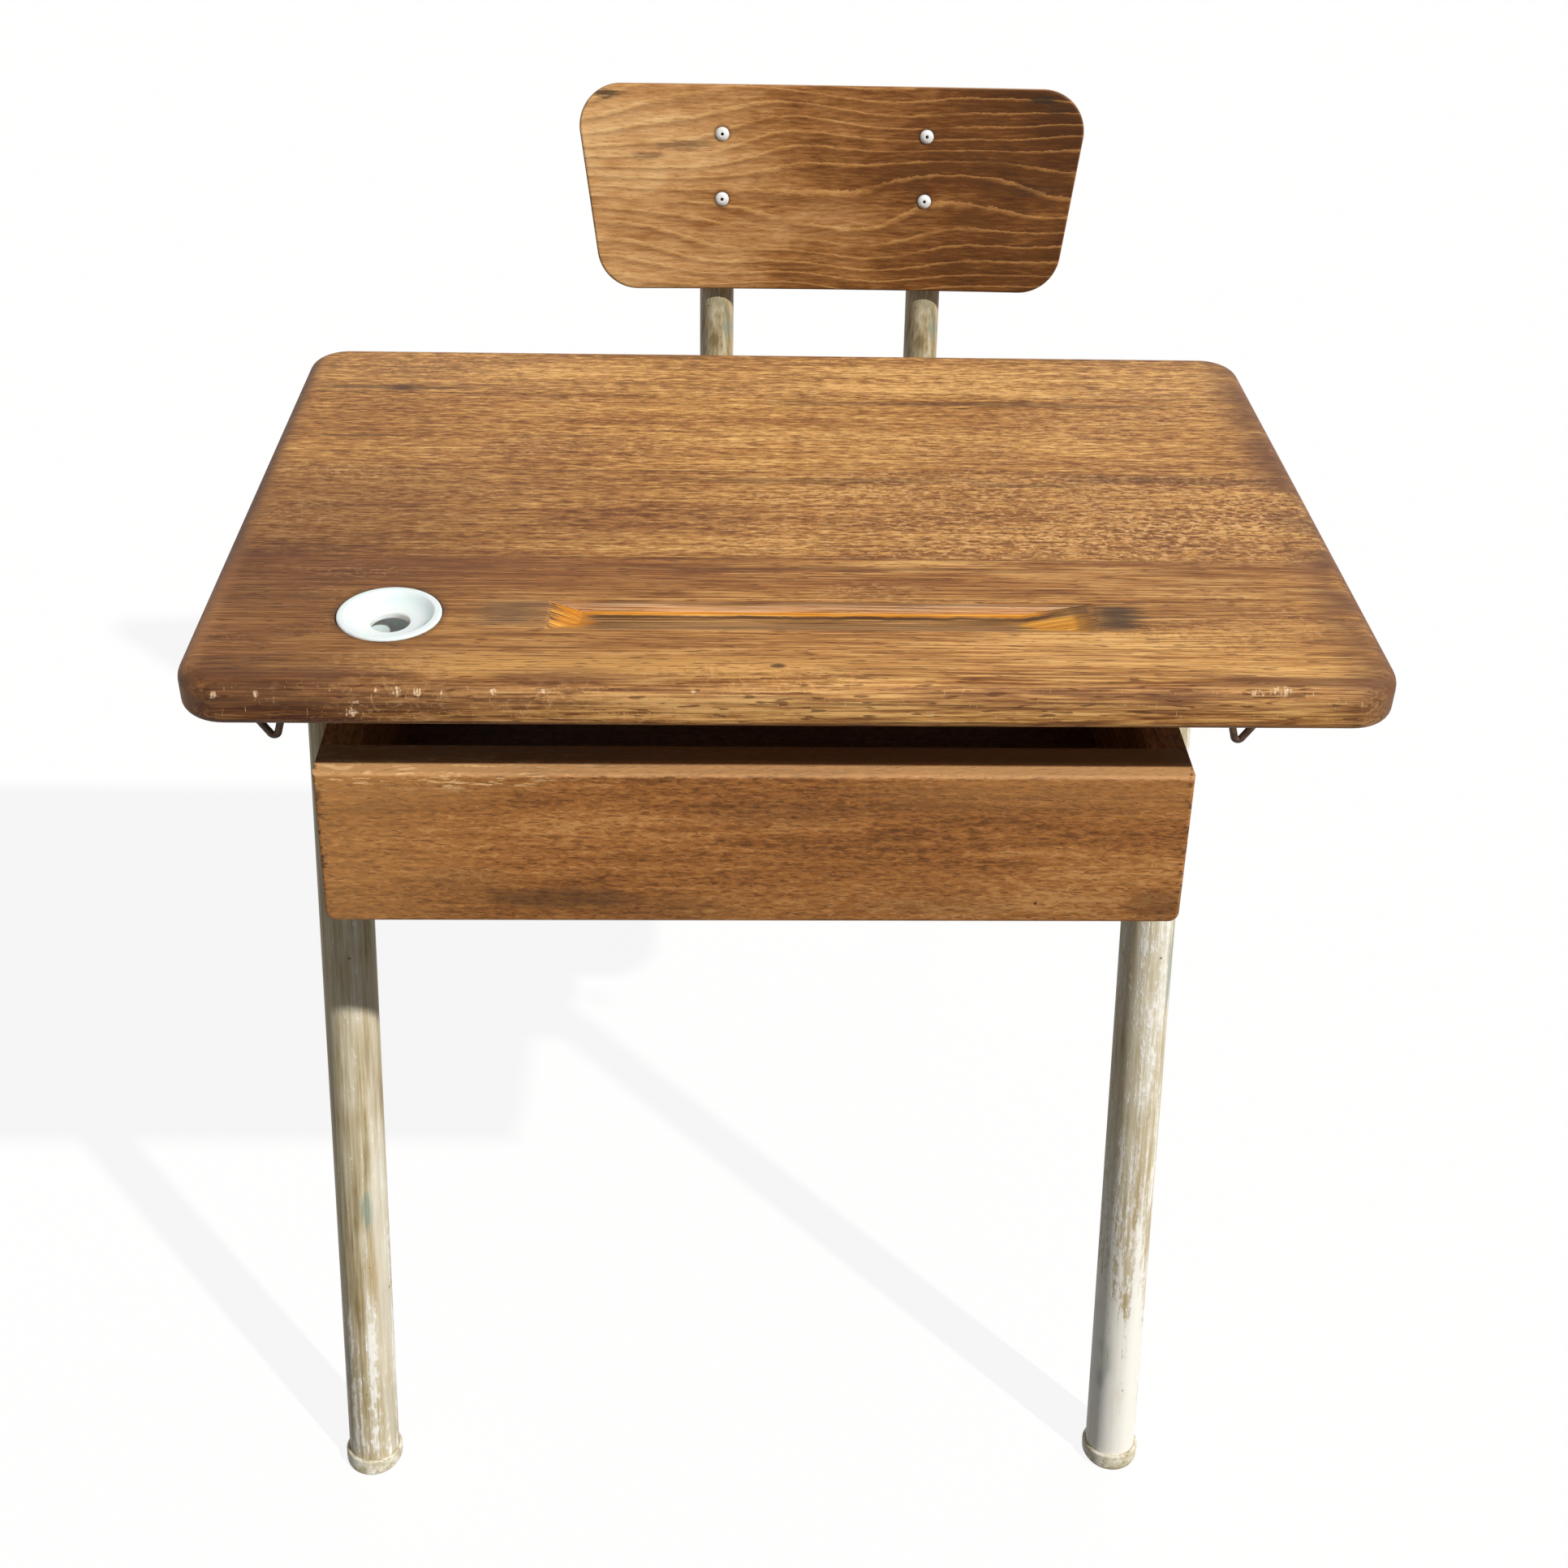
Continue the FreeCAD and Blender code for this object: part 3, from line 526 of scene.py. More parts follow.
def lid_ends(f, colour, y, z, own, board, end):
    """End grain on both ends: bowed rings and open pores."""
    across = f.join(0.0, f.plus(y, f.times(board, BOARD_STEP_Y)), z)
    bowed = f.shaken(z, f.noise(across, (1.0, 9.0, 14.0), 2.0), 0.07)
    rings = f.band(f.math("FRACT", f.plus(f.times(bowed, RINGS_A_METRE), 90.0)), 0.45, 0.95)
    open_pores = f.band(f.noise(own, (300.0, 750.0, 750.0), 1.0), 0.56, 0.66)
    colour = f.dim(colour, end, (206, 198, 194))
    colour = f.tone(colour, f.times(end, rings), 0.35, (96, 60, 34))
    return f.tone(colour, f.times(end, open_pores), 0.5, (82, 50, 28))


def lid_dirt_and_painted_light(f, colour, x, y, z, over, own, streak, end):
    """Dirt on the front left corner, painted light on the left rim with a darker far half, darker right and
    far rims, a dirt line along the front edge and a few long smudges.
    """
    corner = f.times(f.band(x, *CORNER_X), f.band(y, *CORNER_Y))
    colour = f.dim(colour, corner, (205, 196, 198))
    painted_light_left_rim = f.band(x, *span(-LID_HALF_X, PAINTED_LIGHT_LEFT_RIM))
    # Painted light: the left rim is lightened where it turns away from the sun; its far half is then
    # darkened.
    colour = f.tone(colour, painted_light_left_rim, 0.50, (200, 142, 96))
    colour = f.dim(colour, f.times(painted_light_left_rim, f.band(y, *DARK_RIM_Y)), (170, 166, 168))
    patchy = f.most(f.band(f.noise(own, (14.0, 40.0, 40.0)), 0.28, 0.54), f.times(end, 0.7))
    grubby = f.most(f.band(x, *GRUBBY_LEFT_X), f.band(x, *GRUBBY_RIGHT_X), 0.2)
    for rim, strength in (
        (f.band(x, *span(LID_HALF_X, RIGHT_RIM)), 0.85),
        (f.band(y, *span(LID_HALF_Y, FAR_RIM)), 0.40),
        (f.times(f.window(f.shaken(over, streak, 0.012), *DIRT_LINE_OVER, 0.003), grubby), 0.75),
    ):
        colour = f.tone(colour, f.times(rim, patchy), strength, (108, 70, 46))
    wander = f.shaken(y, f.noise(own, (18.0, 60.0, 30.0)), 0.014)
    top = f.band(z, *TOP_FACE_Z)
    for middle, halves, strength in LID_SMUDGES:
        smudge = f.times(f.spot(x, wander, middle, halves), top)
        colour = f.tone(colour, smudge, strength, (82, 54, 30))
    return colour


def lid_chips(f, x, over):
    """Chips along the front edge, each broken into upright strokes, and fine scratches round them."""
    nose = f.join(x, over, 0.0)
    strokes = f.noise(nose, (800.0, 120.0, 1.0), 2.0, 0.6)
    ragged = f.times(f.math("SUBTRACT", f.noise(nose, (500.0, 500.0, 1.0), 2.0), 0.5), 4.0)
    chips = f.most(*[f.spot(x, over, at, halves, ragged) for at, halves in CHIPS])
    chips = f.times(chips, f.band(strokes, 0.42, 0.52))
    scratches = f.times(f.band(strokes, 0.66, 0.72), f.window(over, *SCRATCHED_OVER, 0.002))
    return chips, scratches


def well_ring(f, colour, x, y):
    """Dark ring of dirt round the inkwell."""
    well_x = f.math("SUBTRACT", x, WELL_MID.x - LID_MID.x)
    well_y = f.math("SUBTRACT", y, WELL_MID.y - LID_MID.y)
    from_well = f.math("SQRT", f.plus(f.times(well_x, well_x), f.times(well_y, well_y)))
    return f.tone(colour, f.band(from_well, *WELL_RING_R), 0.6, (74, 48, 28))


def lid_wood():
    """Worn glued top: four boards, crisp short fibres, ray flecks, dirt, chips and a raw pencil groove."""
    f = Finish("lid_wood_worn")
    x, y, z = f.split(f.place(LID_MID))
    over = f.plus(y, z)
    board = f.plus(*[f.math("GREATER_THAN", y, seam) for seam in SEAMS])
    own = f.join(f.plus(x, f.times(board, BOARD_STEP_X)), f.plus(y, f.times(board, BOARD_STEP_Y)), z)
    front = f.band(y, SEAMS[0] + FRONT_FADE, SEAMS[0] - FRONT_FADE)

    # Grain: short fibres, long ones on the front board, stronger on the front and far boards
    broad = f.noise(own, (3.0, 22.0, 10.0), 4.0)
    streak = f.noise(own, (9.0, 150.0, 90.0), 4.0, 0.6)
    short = f.noise(own, (85.0, 360.0, 300.0), 4.0, 0.75)
    long = f.noise(own, (18.0, 640.0, 460.0), 4.0, 0.75)
    fibre = f.plus(short, f.times(f.math("SUBTRACT", long, short), front))
    grain = f.plus(f.times(broad, 0.26), f.times(streak, 0.22), f.times(fibre, 0.52))
    lively = f.most(front, f.band(y, SEAMS[2] - SEAM_FADE, SEAMS[2] + SEAM_FADE))
    grain = f.plus(grain, f.times(f.math("SUBTRACT", grain, 0.5), lively, 0.45))
    colour = f.ramp(
        grain, (0.40, (112, 65, 26)), (0.47, (168, 113, 60)), (0.53, (208, 153, 87)), (0.60, (246, 194, 122))
    )
    colour = lid_tints(f, colour, x, y, over, broad, streak, front)
    pores = f.band(f.noise(own, (70.0, 640.0, 400.0), 1.5), 0.60, 0.67)
    hairs = f.band(f.noise(own, (11.0, 950.0, 700.0), 2.0), 0.55, 0.66)
    colour = lid_flecks(f, colour, x, y, own, pores, hairs)

    # Seams between the boards
    seam_mask = f.most(*[f.window(y, *span(seam, SEAM_HALVES), 0.0008) for seam in SEAMS])
    seam_mask = f.times(seam_mask, f.band(f.noise(own, (7.0, 2.0, 2.0)), 0.34, 0.54))
    colour = f.tone(colour, seam_mask, 0.8, (76, 46, 22))

    # Ends, wear, painted light on the left rim and the two hollows
    end = f.band(f.math("ABSOLUTE", x), *span(LID_HALF_X, END_GRAIN))
    colour = lid_ends(f, colour, y, z, own, board, end)
    colour = lid_dirt_and_painted_light(f, colour, x, y, z, over, own, streak, end)
    chips, scratches = lid_chips(f, x, over)
    colour = f.tone(colour, f.most(chips, f.times(scratches, 0.5)), 0.9, (248, 214, 170))
    colour = groove_finish(f, colour, x, y, z, own)
    colour = well_ring(f, colour, x, y)

    cuts = f.plus(f.times(pores, 0.8), seam_mask, f.times(chips, 0.6), f.times(hairs, 0.5))
    relief = f.math("SUBTRACT", f.times(fibre, 1.2), cuts)
    return f.close(colour, f.plus(0.46, f.times(broad, 0.22)), relief, 0.00028, Specular_IOR_Level=0.22)


def panel_wear_and_painted_light(f, colour, x, y, z, size, here, broad, ripple):
    """Marks of the box's front panel: smudges, a painted highlight on the upper edge, rubbed bare near its
    left end, nicks on the ends, a screw hole and painted shade on the inner side.
    """
    uneven = f.times(f.math("SUBTRACT", broad, 0.5), 1.8)
    for middle, halves, strength in PANEL_SMUDGE_SHARES:
        at = (size.x * middle[0], size.z * middle[1])
        smudge = f.spot(x, z, at, (size.x * halves[0], size.z * halves[1]), uneven)
        colour = f.tone(colour, smudge, strength, (84, 56, 32))

    # Darker below, lighter at the left end and in both upper corners
    colour = f.dim(colour, f.band(z, size.z * PANEL_DARK_SHARE, 0.0), (238, 238, 236))
    colour = f.tone(colour, f.band(x, PANEL_PALE_END, 0.0), 0.25, (214, 160, 98))
    upper = f.band(z, *[size.z * share for share in PANEL_UPPER_SHARES])
    left = f.band(x, *[size.x * share for share in PANEL_LEFT_SHARES])
    right = f.band(x, *[size.x * share for share in PANEL_RIGHT_SHARES])
    colour = f.tone(colour, f.times(upper, f.most(left, right)), 0.35, (200, 142, 82))

    # Painted highlight along the upper edge, and the edge rubbed bare near its left end
    edge = f.band(f.shaken(z, ripple, 0.002), *span(size.z, PANEL_PAINTED_HIGHLIGHT))
    colour = f.tone(colour, edge, 0.5, (228, 180, 126))
    rubbed = f.band(f.noise(here, (70.0, 300.0, 500.0), 3.0, 0.7), 0.54, 0.62)
    rubbed = f.times(rubbed, f.band(x, *PANEL_RUBBED_X), f.band(z, *span(size.z, PANEL_RUBBED)))
    colour = f.tone(colour, rubbed, 0.8, (244, 200, 142))

    # Nicked ends, an empty screw hole, and painted shade on the inner side and the back of the top edge
    end = f.band(f.math("MINIMUM", x, f.math("SUBTRACT", size.x, x)), *PANEL_NICKED)
    nicks = f.band(f.noise(here, (200.0, 200.0, 330.0), 2.0), 0.55, 0.63)
    colour = f.tone(colour, f.times(end, nicks), 0.75, (70, 42, 22))
    hole_at = (size.x * PANEL_HOLE_SHARES[0], size.z * PANEL_HOLE_SHARES[1])
    hole = f.spot(x, z, hole_at, (PANEL_HOLE_R, PANEL_HOLE_R))
    colour = f.tone(colour, hole, 0.9, (40, 24, 12))
    painted_shade_inner = f.band(y, *[size.y * share for share in PANEL_PAINTED_SHADE_SHARES])
    return f.tone(colour, painted_shade_inner, 0.55, (80, 48, 22))


def box_wood(node, turned=False, painted_shade=0.0):
    """Close-grained brown wood of the book box; turned where the grain runs from front to back;
    painted_shade darkens the inner parts with painted shade.
    """
    f = Finish(node + "_wood")
    low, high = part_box(node)
    x, y, z = f.split(f.place(low))
    here = f.join(y, x, z) if turned else f.join(x, y, z)
    broad = f.noise(here, (4.0, 14.0, 20.0), 4.0)
    streak = f.noise(here, (14.0, 170.0, 240.0), 4.0, 0.6)
    ripple = f.noise(here, (150.0, 420.0, 520.0), 3.0, 0.65, 0.6)
    grain = f.plus(f.times(broad, 0.36), f.times(streak, 0.24), f.times(ripple, 0.40))
    colour = f.ramp(
        grain, (0.40, (108, 65, 27)), (0.47, (151, 96, 47)), (0.53, (174, 115, 60)), (0.61, (202, 146, 87))
    )
    ticks = f.band(f.noise(here, (130.0, 600.0, 900.0), 1.0), 0.62, 0.70)
    colour = f.tone(colour, ticks, 0.45, (88, 50, 22))
    if node == "box_front_panel":
        colour = panel_wear_and_painted_light(f, colour, x, y, z, high - low, here, broad, ripple)
    # Painted shade: the inner parts of the box are darkened towards near black.
    colour = f.mix(painted_shade, colour, srgb(42, 24, 12))
    relief = f.math("SUBTRACT", f.plus(f.times(ripple, 1.0), f.times(streak, 0.3)), f.times(ticks, 0.5))
    return f.close(colour, f.plus(0.45, f.times(broad, 0.2)), relief, 0.0005, Specular_IOR_Level=0.25)


def ply_edge(f, colour, depth, thick):
    """Layers of plywood on the edge of a board whose face is at depth 0."""
    layer = f.math("PINGPONG", f.math("DIVIDE", depth, thick / PLIES), 1.0)
    plies = f.mix(layer, srgb(112, 70, 36), srgb(204, 156, 102))
    from_middle = f.math("ABSOLUTE", f.plus(depth, thick / 2))
    edge = f.band(from_middle, *[thick * share for share in PLY_EDGE_SHARES])
    return f.mix(f.times(edge, 0.85), colour, plies)


def growth_lines(f, face, level, waves):
    """Thin jagged growth lines across a board, so many to the metre: the pale lines and their dark sides."""
    wave = f.math("FRACT", f.plus(f.times(level, waves), 20.0))
    shown = f.band(f.noise(face, (9.0, 60.0, 5.0), 2.0), 0.30, 0.50)
    pale = f.times(f.band(wave, 0.76, 0.95), f.band(wave, 1.0, 0.97), shown)
    dark = f.times(f.band(wave, 0.35, 0.74), f.band(wave, 0.84, 0.74), shown)
    return pale, dark


def back_face_depth():
    """How far the backrest's front face stands off its middle, along its own curve."""
    way = Vector((0, -math.cos(BACK_LEAN), math.sin(BACK_LEAN)))
    offsets = [v.co - BACK_MID for v in nodes["backrest_board"].data.vertices]
    return max(o.dot(way) - o.x ** 2 / (2 * BACK_CURVE_R) for o in offsets)


def backrest_ply():
    """Moulded plywood of the backrest: painted light making it lighter to the left, growth lines, dirt round
    rivets and corners.
    """
    f = Finish("backrest_ply_worn")
    x, y, z = f.split(f.place(BACK_MID, (math.pi / 2 - BACK_LEAN, 0, 0)))
    face = f.join(x, y, 0.0)
    broad = f.noise(face, (8.0, 16.0, 5.0), 4.0)
    streak = f.noise(face, (12.0, 150.0, 5.0), 4.0, 0.6)
    fibre = f.noise(face, (60.0, 460.0, 5.0), 3.0, 0.65)
    # Painted light: the board grows lighter towards the left.
    light = f.plus(f.times(x, -2.1), 0.48)
    light = f.shaken(f.shaken(f.shaken(light, broad, 1.1), streak, 0.45), fibre, 0.75)
    colour = f.ramp(
        light, (0.05, (80, 45, 16)), (0.30, (113, 68, 29)), (0.52, (164, 110, 59)), (0.78, (210, 157, 101)),
        (1.0, (236, 190, 132)),
    )
    level = f.shaken(y, f.noise(face, (4.0, 9.0, 5.0), 1.0), 0.090)
    level = f.shaken(level, f.noise(face, (90.0, 240.0, 50.0), 3.0, 0.75), 0.0040)
    lines, late = growth_lines(f, face, level, BACK_LINES_A_METRE)
    colour = f.tone(colour, late, 0.38, (104, 60, 26))
    colour = f.mix(f.times(lines, 0.95), colour, srgb(160, 112, 64), "SCREEN")
    pores = f.band(f.noise(face, (140.0, 800.0, 50.0), 1.0), 0.60, 0.70)
    colour = f.tone(colour, pores, 0.25, (84, 48, 22))
    rivets_low, rivets_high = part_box("backrest_rivets")
    for at_x in (rivets_low.x + RIVET_HEAD_R, rivets_high.x - RIVET_HEAD_R):
        for at_z in (rivets_low.z + RIVET_HEAD_R, rivets_high.z - RIVET_HEAD_R):
            rise = (at_z - BACK_MID.z) / math.cos(BACK_LEAN)
            ring = f.spot(x, y, (at_x - BACK_MID.x, rise), (RIVET_RING_R, RIVET_RING_R))
            colour = f.tone(colour, ring, 0.9, (50, 30, 18))
    uneven = f.times(f.math("SUBTRACT", fibre, 0.5), 2.5)
    for middle, halves, strength in BACK_STAINS:
        colour = f.tone(colour, f.spot(x, y, middle, halves, uneven), strength, (58, 44, 30))
    depth = f.math("SUBTRACT", z, f.math("DIVIDE", f.times(x, x), 2 * BACK_CURVE_R))
    colour = ply_edge(f, colour, f.math("SUBTRACT", depth, back_face_depth()), BACK_THICK)
    relief = f.math("SUBTRACT", f.times(lines, 0.8), f.times(pores, 0.5))
    return f.close(colour, f.plus(0.38, f.times(broad, 0.2)), relief, 0.0002, Specular_IOR_Level=0.2)


def seat_ply():
    """Plywood of the seat, rubbed pale where one sits, its grain across the sitter."""
    f = Finish("seat_ply_worn")
    low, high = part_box("seat_board")
    middle = (low + high) / 2
    x, y, z = f.split(f.place((middle.x, middle.y, high.z)))
    face = f.join(x, y, 0.0)
    broad = f.noise(face, (8.0, 16.0, 5.0), 4.0)
    streak = f.noise(face, (14.0, 240.0, 5.0), 4.0, 0.6)
    grain = f.plus(f.times(broad, 0.6), f.times(streak, 0.4))
    colour = f.ramp(grain, (0.38, (116, 72, 34)), (0.50, (160, 108, 60)), (0.62, (204, 152, 98)))
    level = f.shaken(y, f.noise(face, (4.5, 7.0, 5.0), 2.0), 0.12)
    level = f.shaken(level, f.noise(face, (80.0, 300.0, 50.0), 3.0, 0.7), 0.003)
    lines, late = growth_lines(f, face, level, SEAT_LINES_A_METRE)
    colour = f.tone(colour, late, 0.25, (104, 60, 26))
    colour = f.mix(f.times(lines, 0.55), colour, srgb(140, 94, 48), "SCREEN")
    worn = f.spot(x, y, (0.0, 0.0), SEAT_WORN_HALVES, f.times(f.math("SUBTRACT", broad, 0.5), 1.5))
    colour = f.tone(colour, worn, 0.35, (214, 164, 110))
    pores = f.band(f.noise(face, (140.0, 800.0, 50.0), 1.0), 0.60, 0.70)
    colour = f.tone(colour, pores, 0.45, (84, 48, 22))
    colour = ply_edge(f, colour, z, SEAT_THICK)
    relief = f.math("SUBTRACT", f.times(lines, 0.6), f.times(pores, 0.5))
    return f.close(colour, f.plus(0.36, f.times(broad, 0.2)), relief, 0.00015, Specular_IOR_Level=0.4)


def tube_paint(name, origin, axis, pale=0.0, marks=(), turn_at=None):
    """Old cream paint on a tube, worn in streaks along it, with a few marks; pale adds white patches.

    Past turn_at, along the axis, the tube turns up and the streaks turn with it.
    """
    f = Finish(name + "_paint")
    here = f.place(origin, Vector(axis).to_track_quat("Z", "Y").to_euler())
    x, y, z = f.split(here)
    if turn_at:
        turned = f.times(f.band(z, *span(turn_at, SPINE_TURN_RUN)), f.band(y, *SPINE_TURN_RISE))
        here = f.mix(turned, here, f.join(x, z, y))
    streak = f.noise(here, (150.0, 150.0, 5.0), 4.0, 0.65, 0.3)
    thread = f.noise(here, (430.0, 430.0, 16.0), 3.0, 0.6)
    cloud = f.noise(here, (26.0, 26.0, 9.0), 4.0, 0.6)
    flake = f.noise(here, (420.0, 420.0, 140.0), 4.0, 0.7)
    coat = f.plus(f.times(streak, 0.36), f.times(thread, 0.26), f.times(cloud, 0.38))
    coat = f.plus(coat, pale)
    colour = f.ramp(
        coat, (0.39, (142, 122, 84)), (0.46, (188, 172, 136)), (0.53, (216, 205, 177)),
        (0.61, (238, 232, 214)),
    )
    low = f.plus(f.times(f.band(z, *TUBE_FLAKED_Z), 0.05), f.times(f.band(z, *TUBE_WHITE_Z), pale * 1.5))
    bare = f.plus(f.times(flake, 0.34), f.times(streak, 0.40), f.times(cloud, 0.26), low, pale)
    bare = f.band(bare, 0.525, 0.600)
    colour = f.tone(colour, bare, 0.85, (252, 250, 242))
    tan = f.band(f.noise(here, (34.0, 34.0, 7.0), 3.0), 0.57, 0.70)
    colour = f.tone(colour, f.times(tan, f.math("SUBTRACT", 1.0, f.times(bare, 0.6))), 0.5, (166, 138, 88))
    teal = f.band(f.noise(f.join(y, z, x), (30.0, 11.0, 30.0), 2.0), 0.66, 0.76)
    colour = f.tone(colour, teal, 0.5, (128, 148, 138))
    for middle, halves, strength, towards in marks:
        spot = f.spot(x, z, middle, halves, f.times(f.math("SUBTRACT", thread, 0.5), 5.0))
        colour = f.tone(colour, f.times(spot, f.band(y, *TUBE_FRONT_Y)), strength, towards)
    nick = f.band(f.noise(here, (210.0, 210.0, 130.0), 2.0), 0.74, 0.78)
    colour = f.tone(colour, nick, 0.8, (76, 62, 46))
    relief = f.math("SUBTRACT", f.times(bare, 0.7), nick)
    return f.close(colour, f.plus(0.42, f.times(cloud, 0.25)), relief, 0.0003, Specular_IOR_Level=0.35)


def mottled(name, dark, light, fineness, roughness, **constants):
    """Two-tone finish with fine mottling, for small parts."""
    f = Finish(name)
    here = f.place()
    cloud = f.noise(here, (fineness,) * 3, 4.0, 0.6)
    grit = f.noise(here, (fineness * 8,) * 3, 3.0, 0.7)
    colour = f.ramp(f.plus(f.times(cloud, 0.65), f.times(grit, 0.35)), (0.38, dark), (0.62, light))
    return f.close(colour, f.plus(roughness - 0.1, f.times(cloud, 0.2)), grit, 0.0001, **constants)


def cap_plastic():
    """Off-white foot caps, scuffed and stained towards the floor."""
    f = Finish("cap_plastic_worn")
    here = f.place()
    z = f.split(here)[2]
    cloud = f.noise(here, (90.0, 90.0, 120.0), 4.0, 0.65)
    grit = f.noise(here, (500.0, 500.0, 500.0), 3.0, 0.7)
    colour = f.ramp(cloud, (0.35, (190, 178, 146)), (0.52, (226, 218, 194)), (0.66, (244, 240, 226)))
    stain = f.times(f.band(z, *CAP_STAIN_Z), f.band(cloud, 0.62, 0.40))
    colour = f.tone(colour, stain, 0.75, (146, 128, 92))
    scuff = f.band(grit, 0.60, 0.68)
    colour = f.tone(colour, scuff, 0.55, (134, 118, 88))
    return f.close(colour, 0.5, f.math("SUBTRACT", cloud, scuff), 0.0004)


def porcelain():
    """White glaze with the faintest waviness and grey ink stains inside."""
    f = Finish("porcelain_glaze")
    here = f.place(WELL_MID)
    z = f.split(here)[2]
    cloud = f.noise(here, (60.0, 60.0, 60.0), 3.0)
    colour = f.mix(cloud, srgb(246, 250, 248), srgb(253, 255, 254))
    stain = f.times(f.band(z, *WELL_STAIN_Z), f.band(cloud, 0.25, 0.55))
    colour = f.tone(colour, stain, 0.45, (150, 152, 142))
    return f.close(
        colour, 0.12, cloud, 0.0001, Coat_Weight=0.4, Coat_Roughness=0.06,
        Subsurface_Weight=0.4, Subsurface_Scale=0.012,
    )


def ends_of(node):
    """Middle of a straight tube's lowest and highest ring."""
    points = [v.co for v in nodes[node].data.vertices]
    low = min(p.z for p in points)
    high = max(p.z for p in points)
    reach = (high - low) * END_RING_SHARE
    foot = [p for p in points if p.z < low + reach]
    head = [p for p in points if p.z > high - reach]
    return sum(foot, Vector()) / len(foot), sum(head, Vector()) / len(head)


def dress():
    """Give every CAD node its finish."""
    finish_of_slot = {
        "lid_wood": lid_wood(),
        "dark_steel": mottled("dark_steel_rusty", (40, 28, 20), (96, 72, 54), 160.0, 0.55, Metallic=0.4),
        "screw_steel": mottled("screw_zinc", (120, 116, 108), (186, 184, 178), 160.0, 0.4, Metallic=1.0),
        "rivet_metal": mottled("rivet_pale", (230, 231, 228), (252, 252, 250), 200.0, 0.35, Metallic=0.1),
        "cap_plastic": cap_plastic(),
        "plug_plastic": mottled("plug_plastic_black", (20, 20, 20), (46, 45, 44), 150.0, 0.5),
        "buffer_rubber": mottled("buffer_rubber_black", (16, 16, 16), (38, 36, 34), 200.0, 0.8),
        "porcelain": porcelain(),
    }
    finish_of_node = {
        "box_front_panel": box_wood("box_front_panel"),
        # The back panel and the floor, inside the box, get painted shade.
        "box_back_panel": box_wood("box_back_panel", painted_shade=0.5),
        "box_floor": box_wood("box_floor", painted_shade=0.6),
        "backrest_board": backrest_ply(),
        "seat_board": seat_ply(),
    }
    along = {"top_rail_": (0, 1, 0), "box_hanger_": (0, 0, 1)}
    for side in ("left", "right"):
        finish_of_node["box_side_" + side] = box_wood("box_side_" + side, turned=True)
        for leg, (pale, marks) in (("front_leg_" + side, LEG_WEAR[side]), ("rear_leg_" + side, (0.0, ()))):
            foot, head = ends_of(leg)
            finish_of_node[leg] = tube_paint(leg, foot, head - foot, pale, marks)
        for start, axis in along.items():
            finish_of_node[start + side] = tube_paint(start + side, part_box(start + side)[0], axis)
        spine = "seat_spine_" + side
        low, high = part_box(spine)
        turn_at = (high.y - low.y) * SPINE_TURN_SHARE
        finish_of_node[spine] = tube_paint(spine, low, (0, 1, 0), SPINE_PALE, turn_at=turn_at)
    for node in ("cross_tube", "seat_cross_tube"):
        finish_of_node[node] = tube_paint(node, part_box(node)[0], (1, 0, 0))
    for node, obj in nodes.items():
        obj.data.materials.clear()
        obj.data.materials.append(finish_of_node.get(node) or finish_of_slot[slot_of[node]])


def saddle(wall_at, wall_way, wall_r, tube_at, tube_way, tube_r):
    """Curve where a tube that starts inside another and runs one way comes out through its round wall."""
    side = tube_way.orthogonal().normalized()
    up = tube_way.cross(side)
    flat = tube_way - wall_way * tube_way.dot(wall_way)
    curve = []
    for step in range(BEAD_STEPS):
        turn = 2 * math.pi * step / BEAD_STEPS
        start = tube_at + (side * math.cos(turn) + up * math.sin(turn)) * tube_r
        away = start - wall_at
        away = away - wall_way * away.dot(wall_way)
        along = away.dot(flat)
        rest = away.length_squared - wall_r ** 2
        root = math.sqrt(max(along ** 2 - flat.length_squared * rest, 0.0))
        curve.append(start + tube_way * (root - along) / flat.length_squared)
    return curve


def bead(name, curve, finish, radius=BEAD_R):
    """Rippled weld bead along a closed curve."""
    count = len(curve)
    points = []
    faces = []
    side = (curve[1] - curve[-1]).orthogonal()
    for i, at in enumerate(curve):
        way = (curve[(i + 1) % count] - curve[i - 1]).normalized()
        side = (side - way * side.dot(way)).normalized()
        up = way.cross(side)
        ripple = BEAD_RIPPLE * (random.random() - 0.5) + BEAD_RIPPLE * math.sin(i * BEAD_RIPPLE_TURN)
        swell = radius * (1 + ripple)
        after = ((i + 1) % count) * BEAD_SIDES
        for j in range(BEAD_SIDES):
            turn = 2 * math.pi * j / BEAD_SIDES
            points.append(at + (side * math.cos(turn) + up * math.sin(turn)) * swell)
            ahead = (j + 1) % BEAD_SIDES
            faces.append((i * BEAD_SIDES + j, after + j, after + ahead, i * BEAD_SIDES + ahead))
    mesh = bpy.data.meshes.new(name)
    mesh.from_pydata(points, [], faces)
    mesh.shade_smooth()
    mesh.materials.append(finish)
    obj = bpy.data.objects.new(name, mesh)
    bpy.context.scene.collection.objects.link(obj)
    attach(obj, "frame")


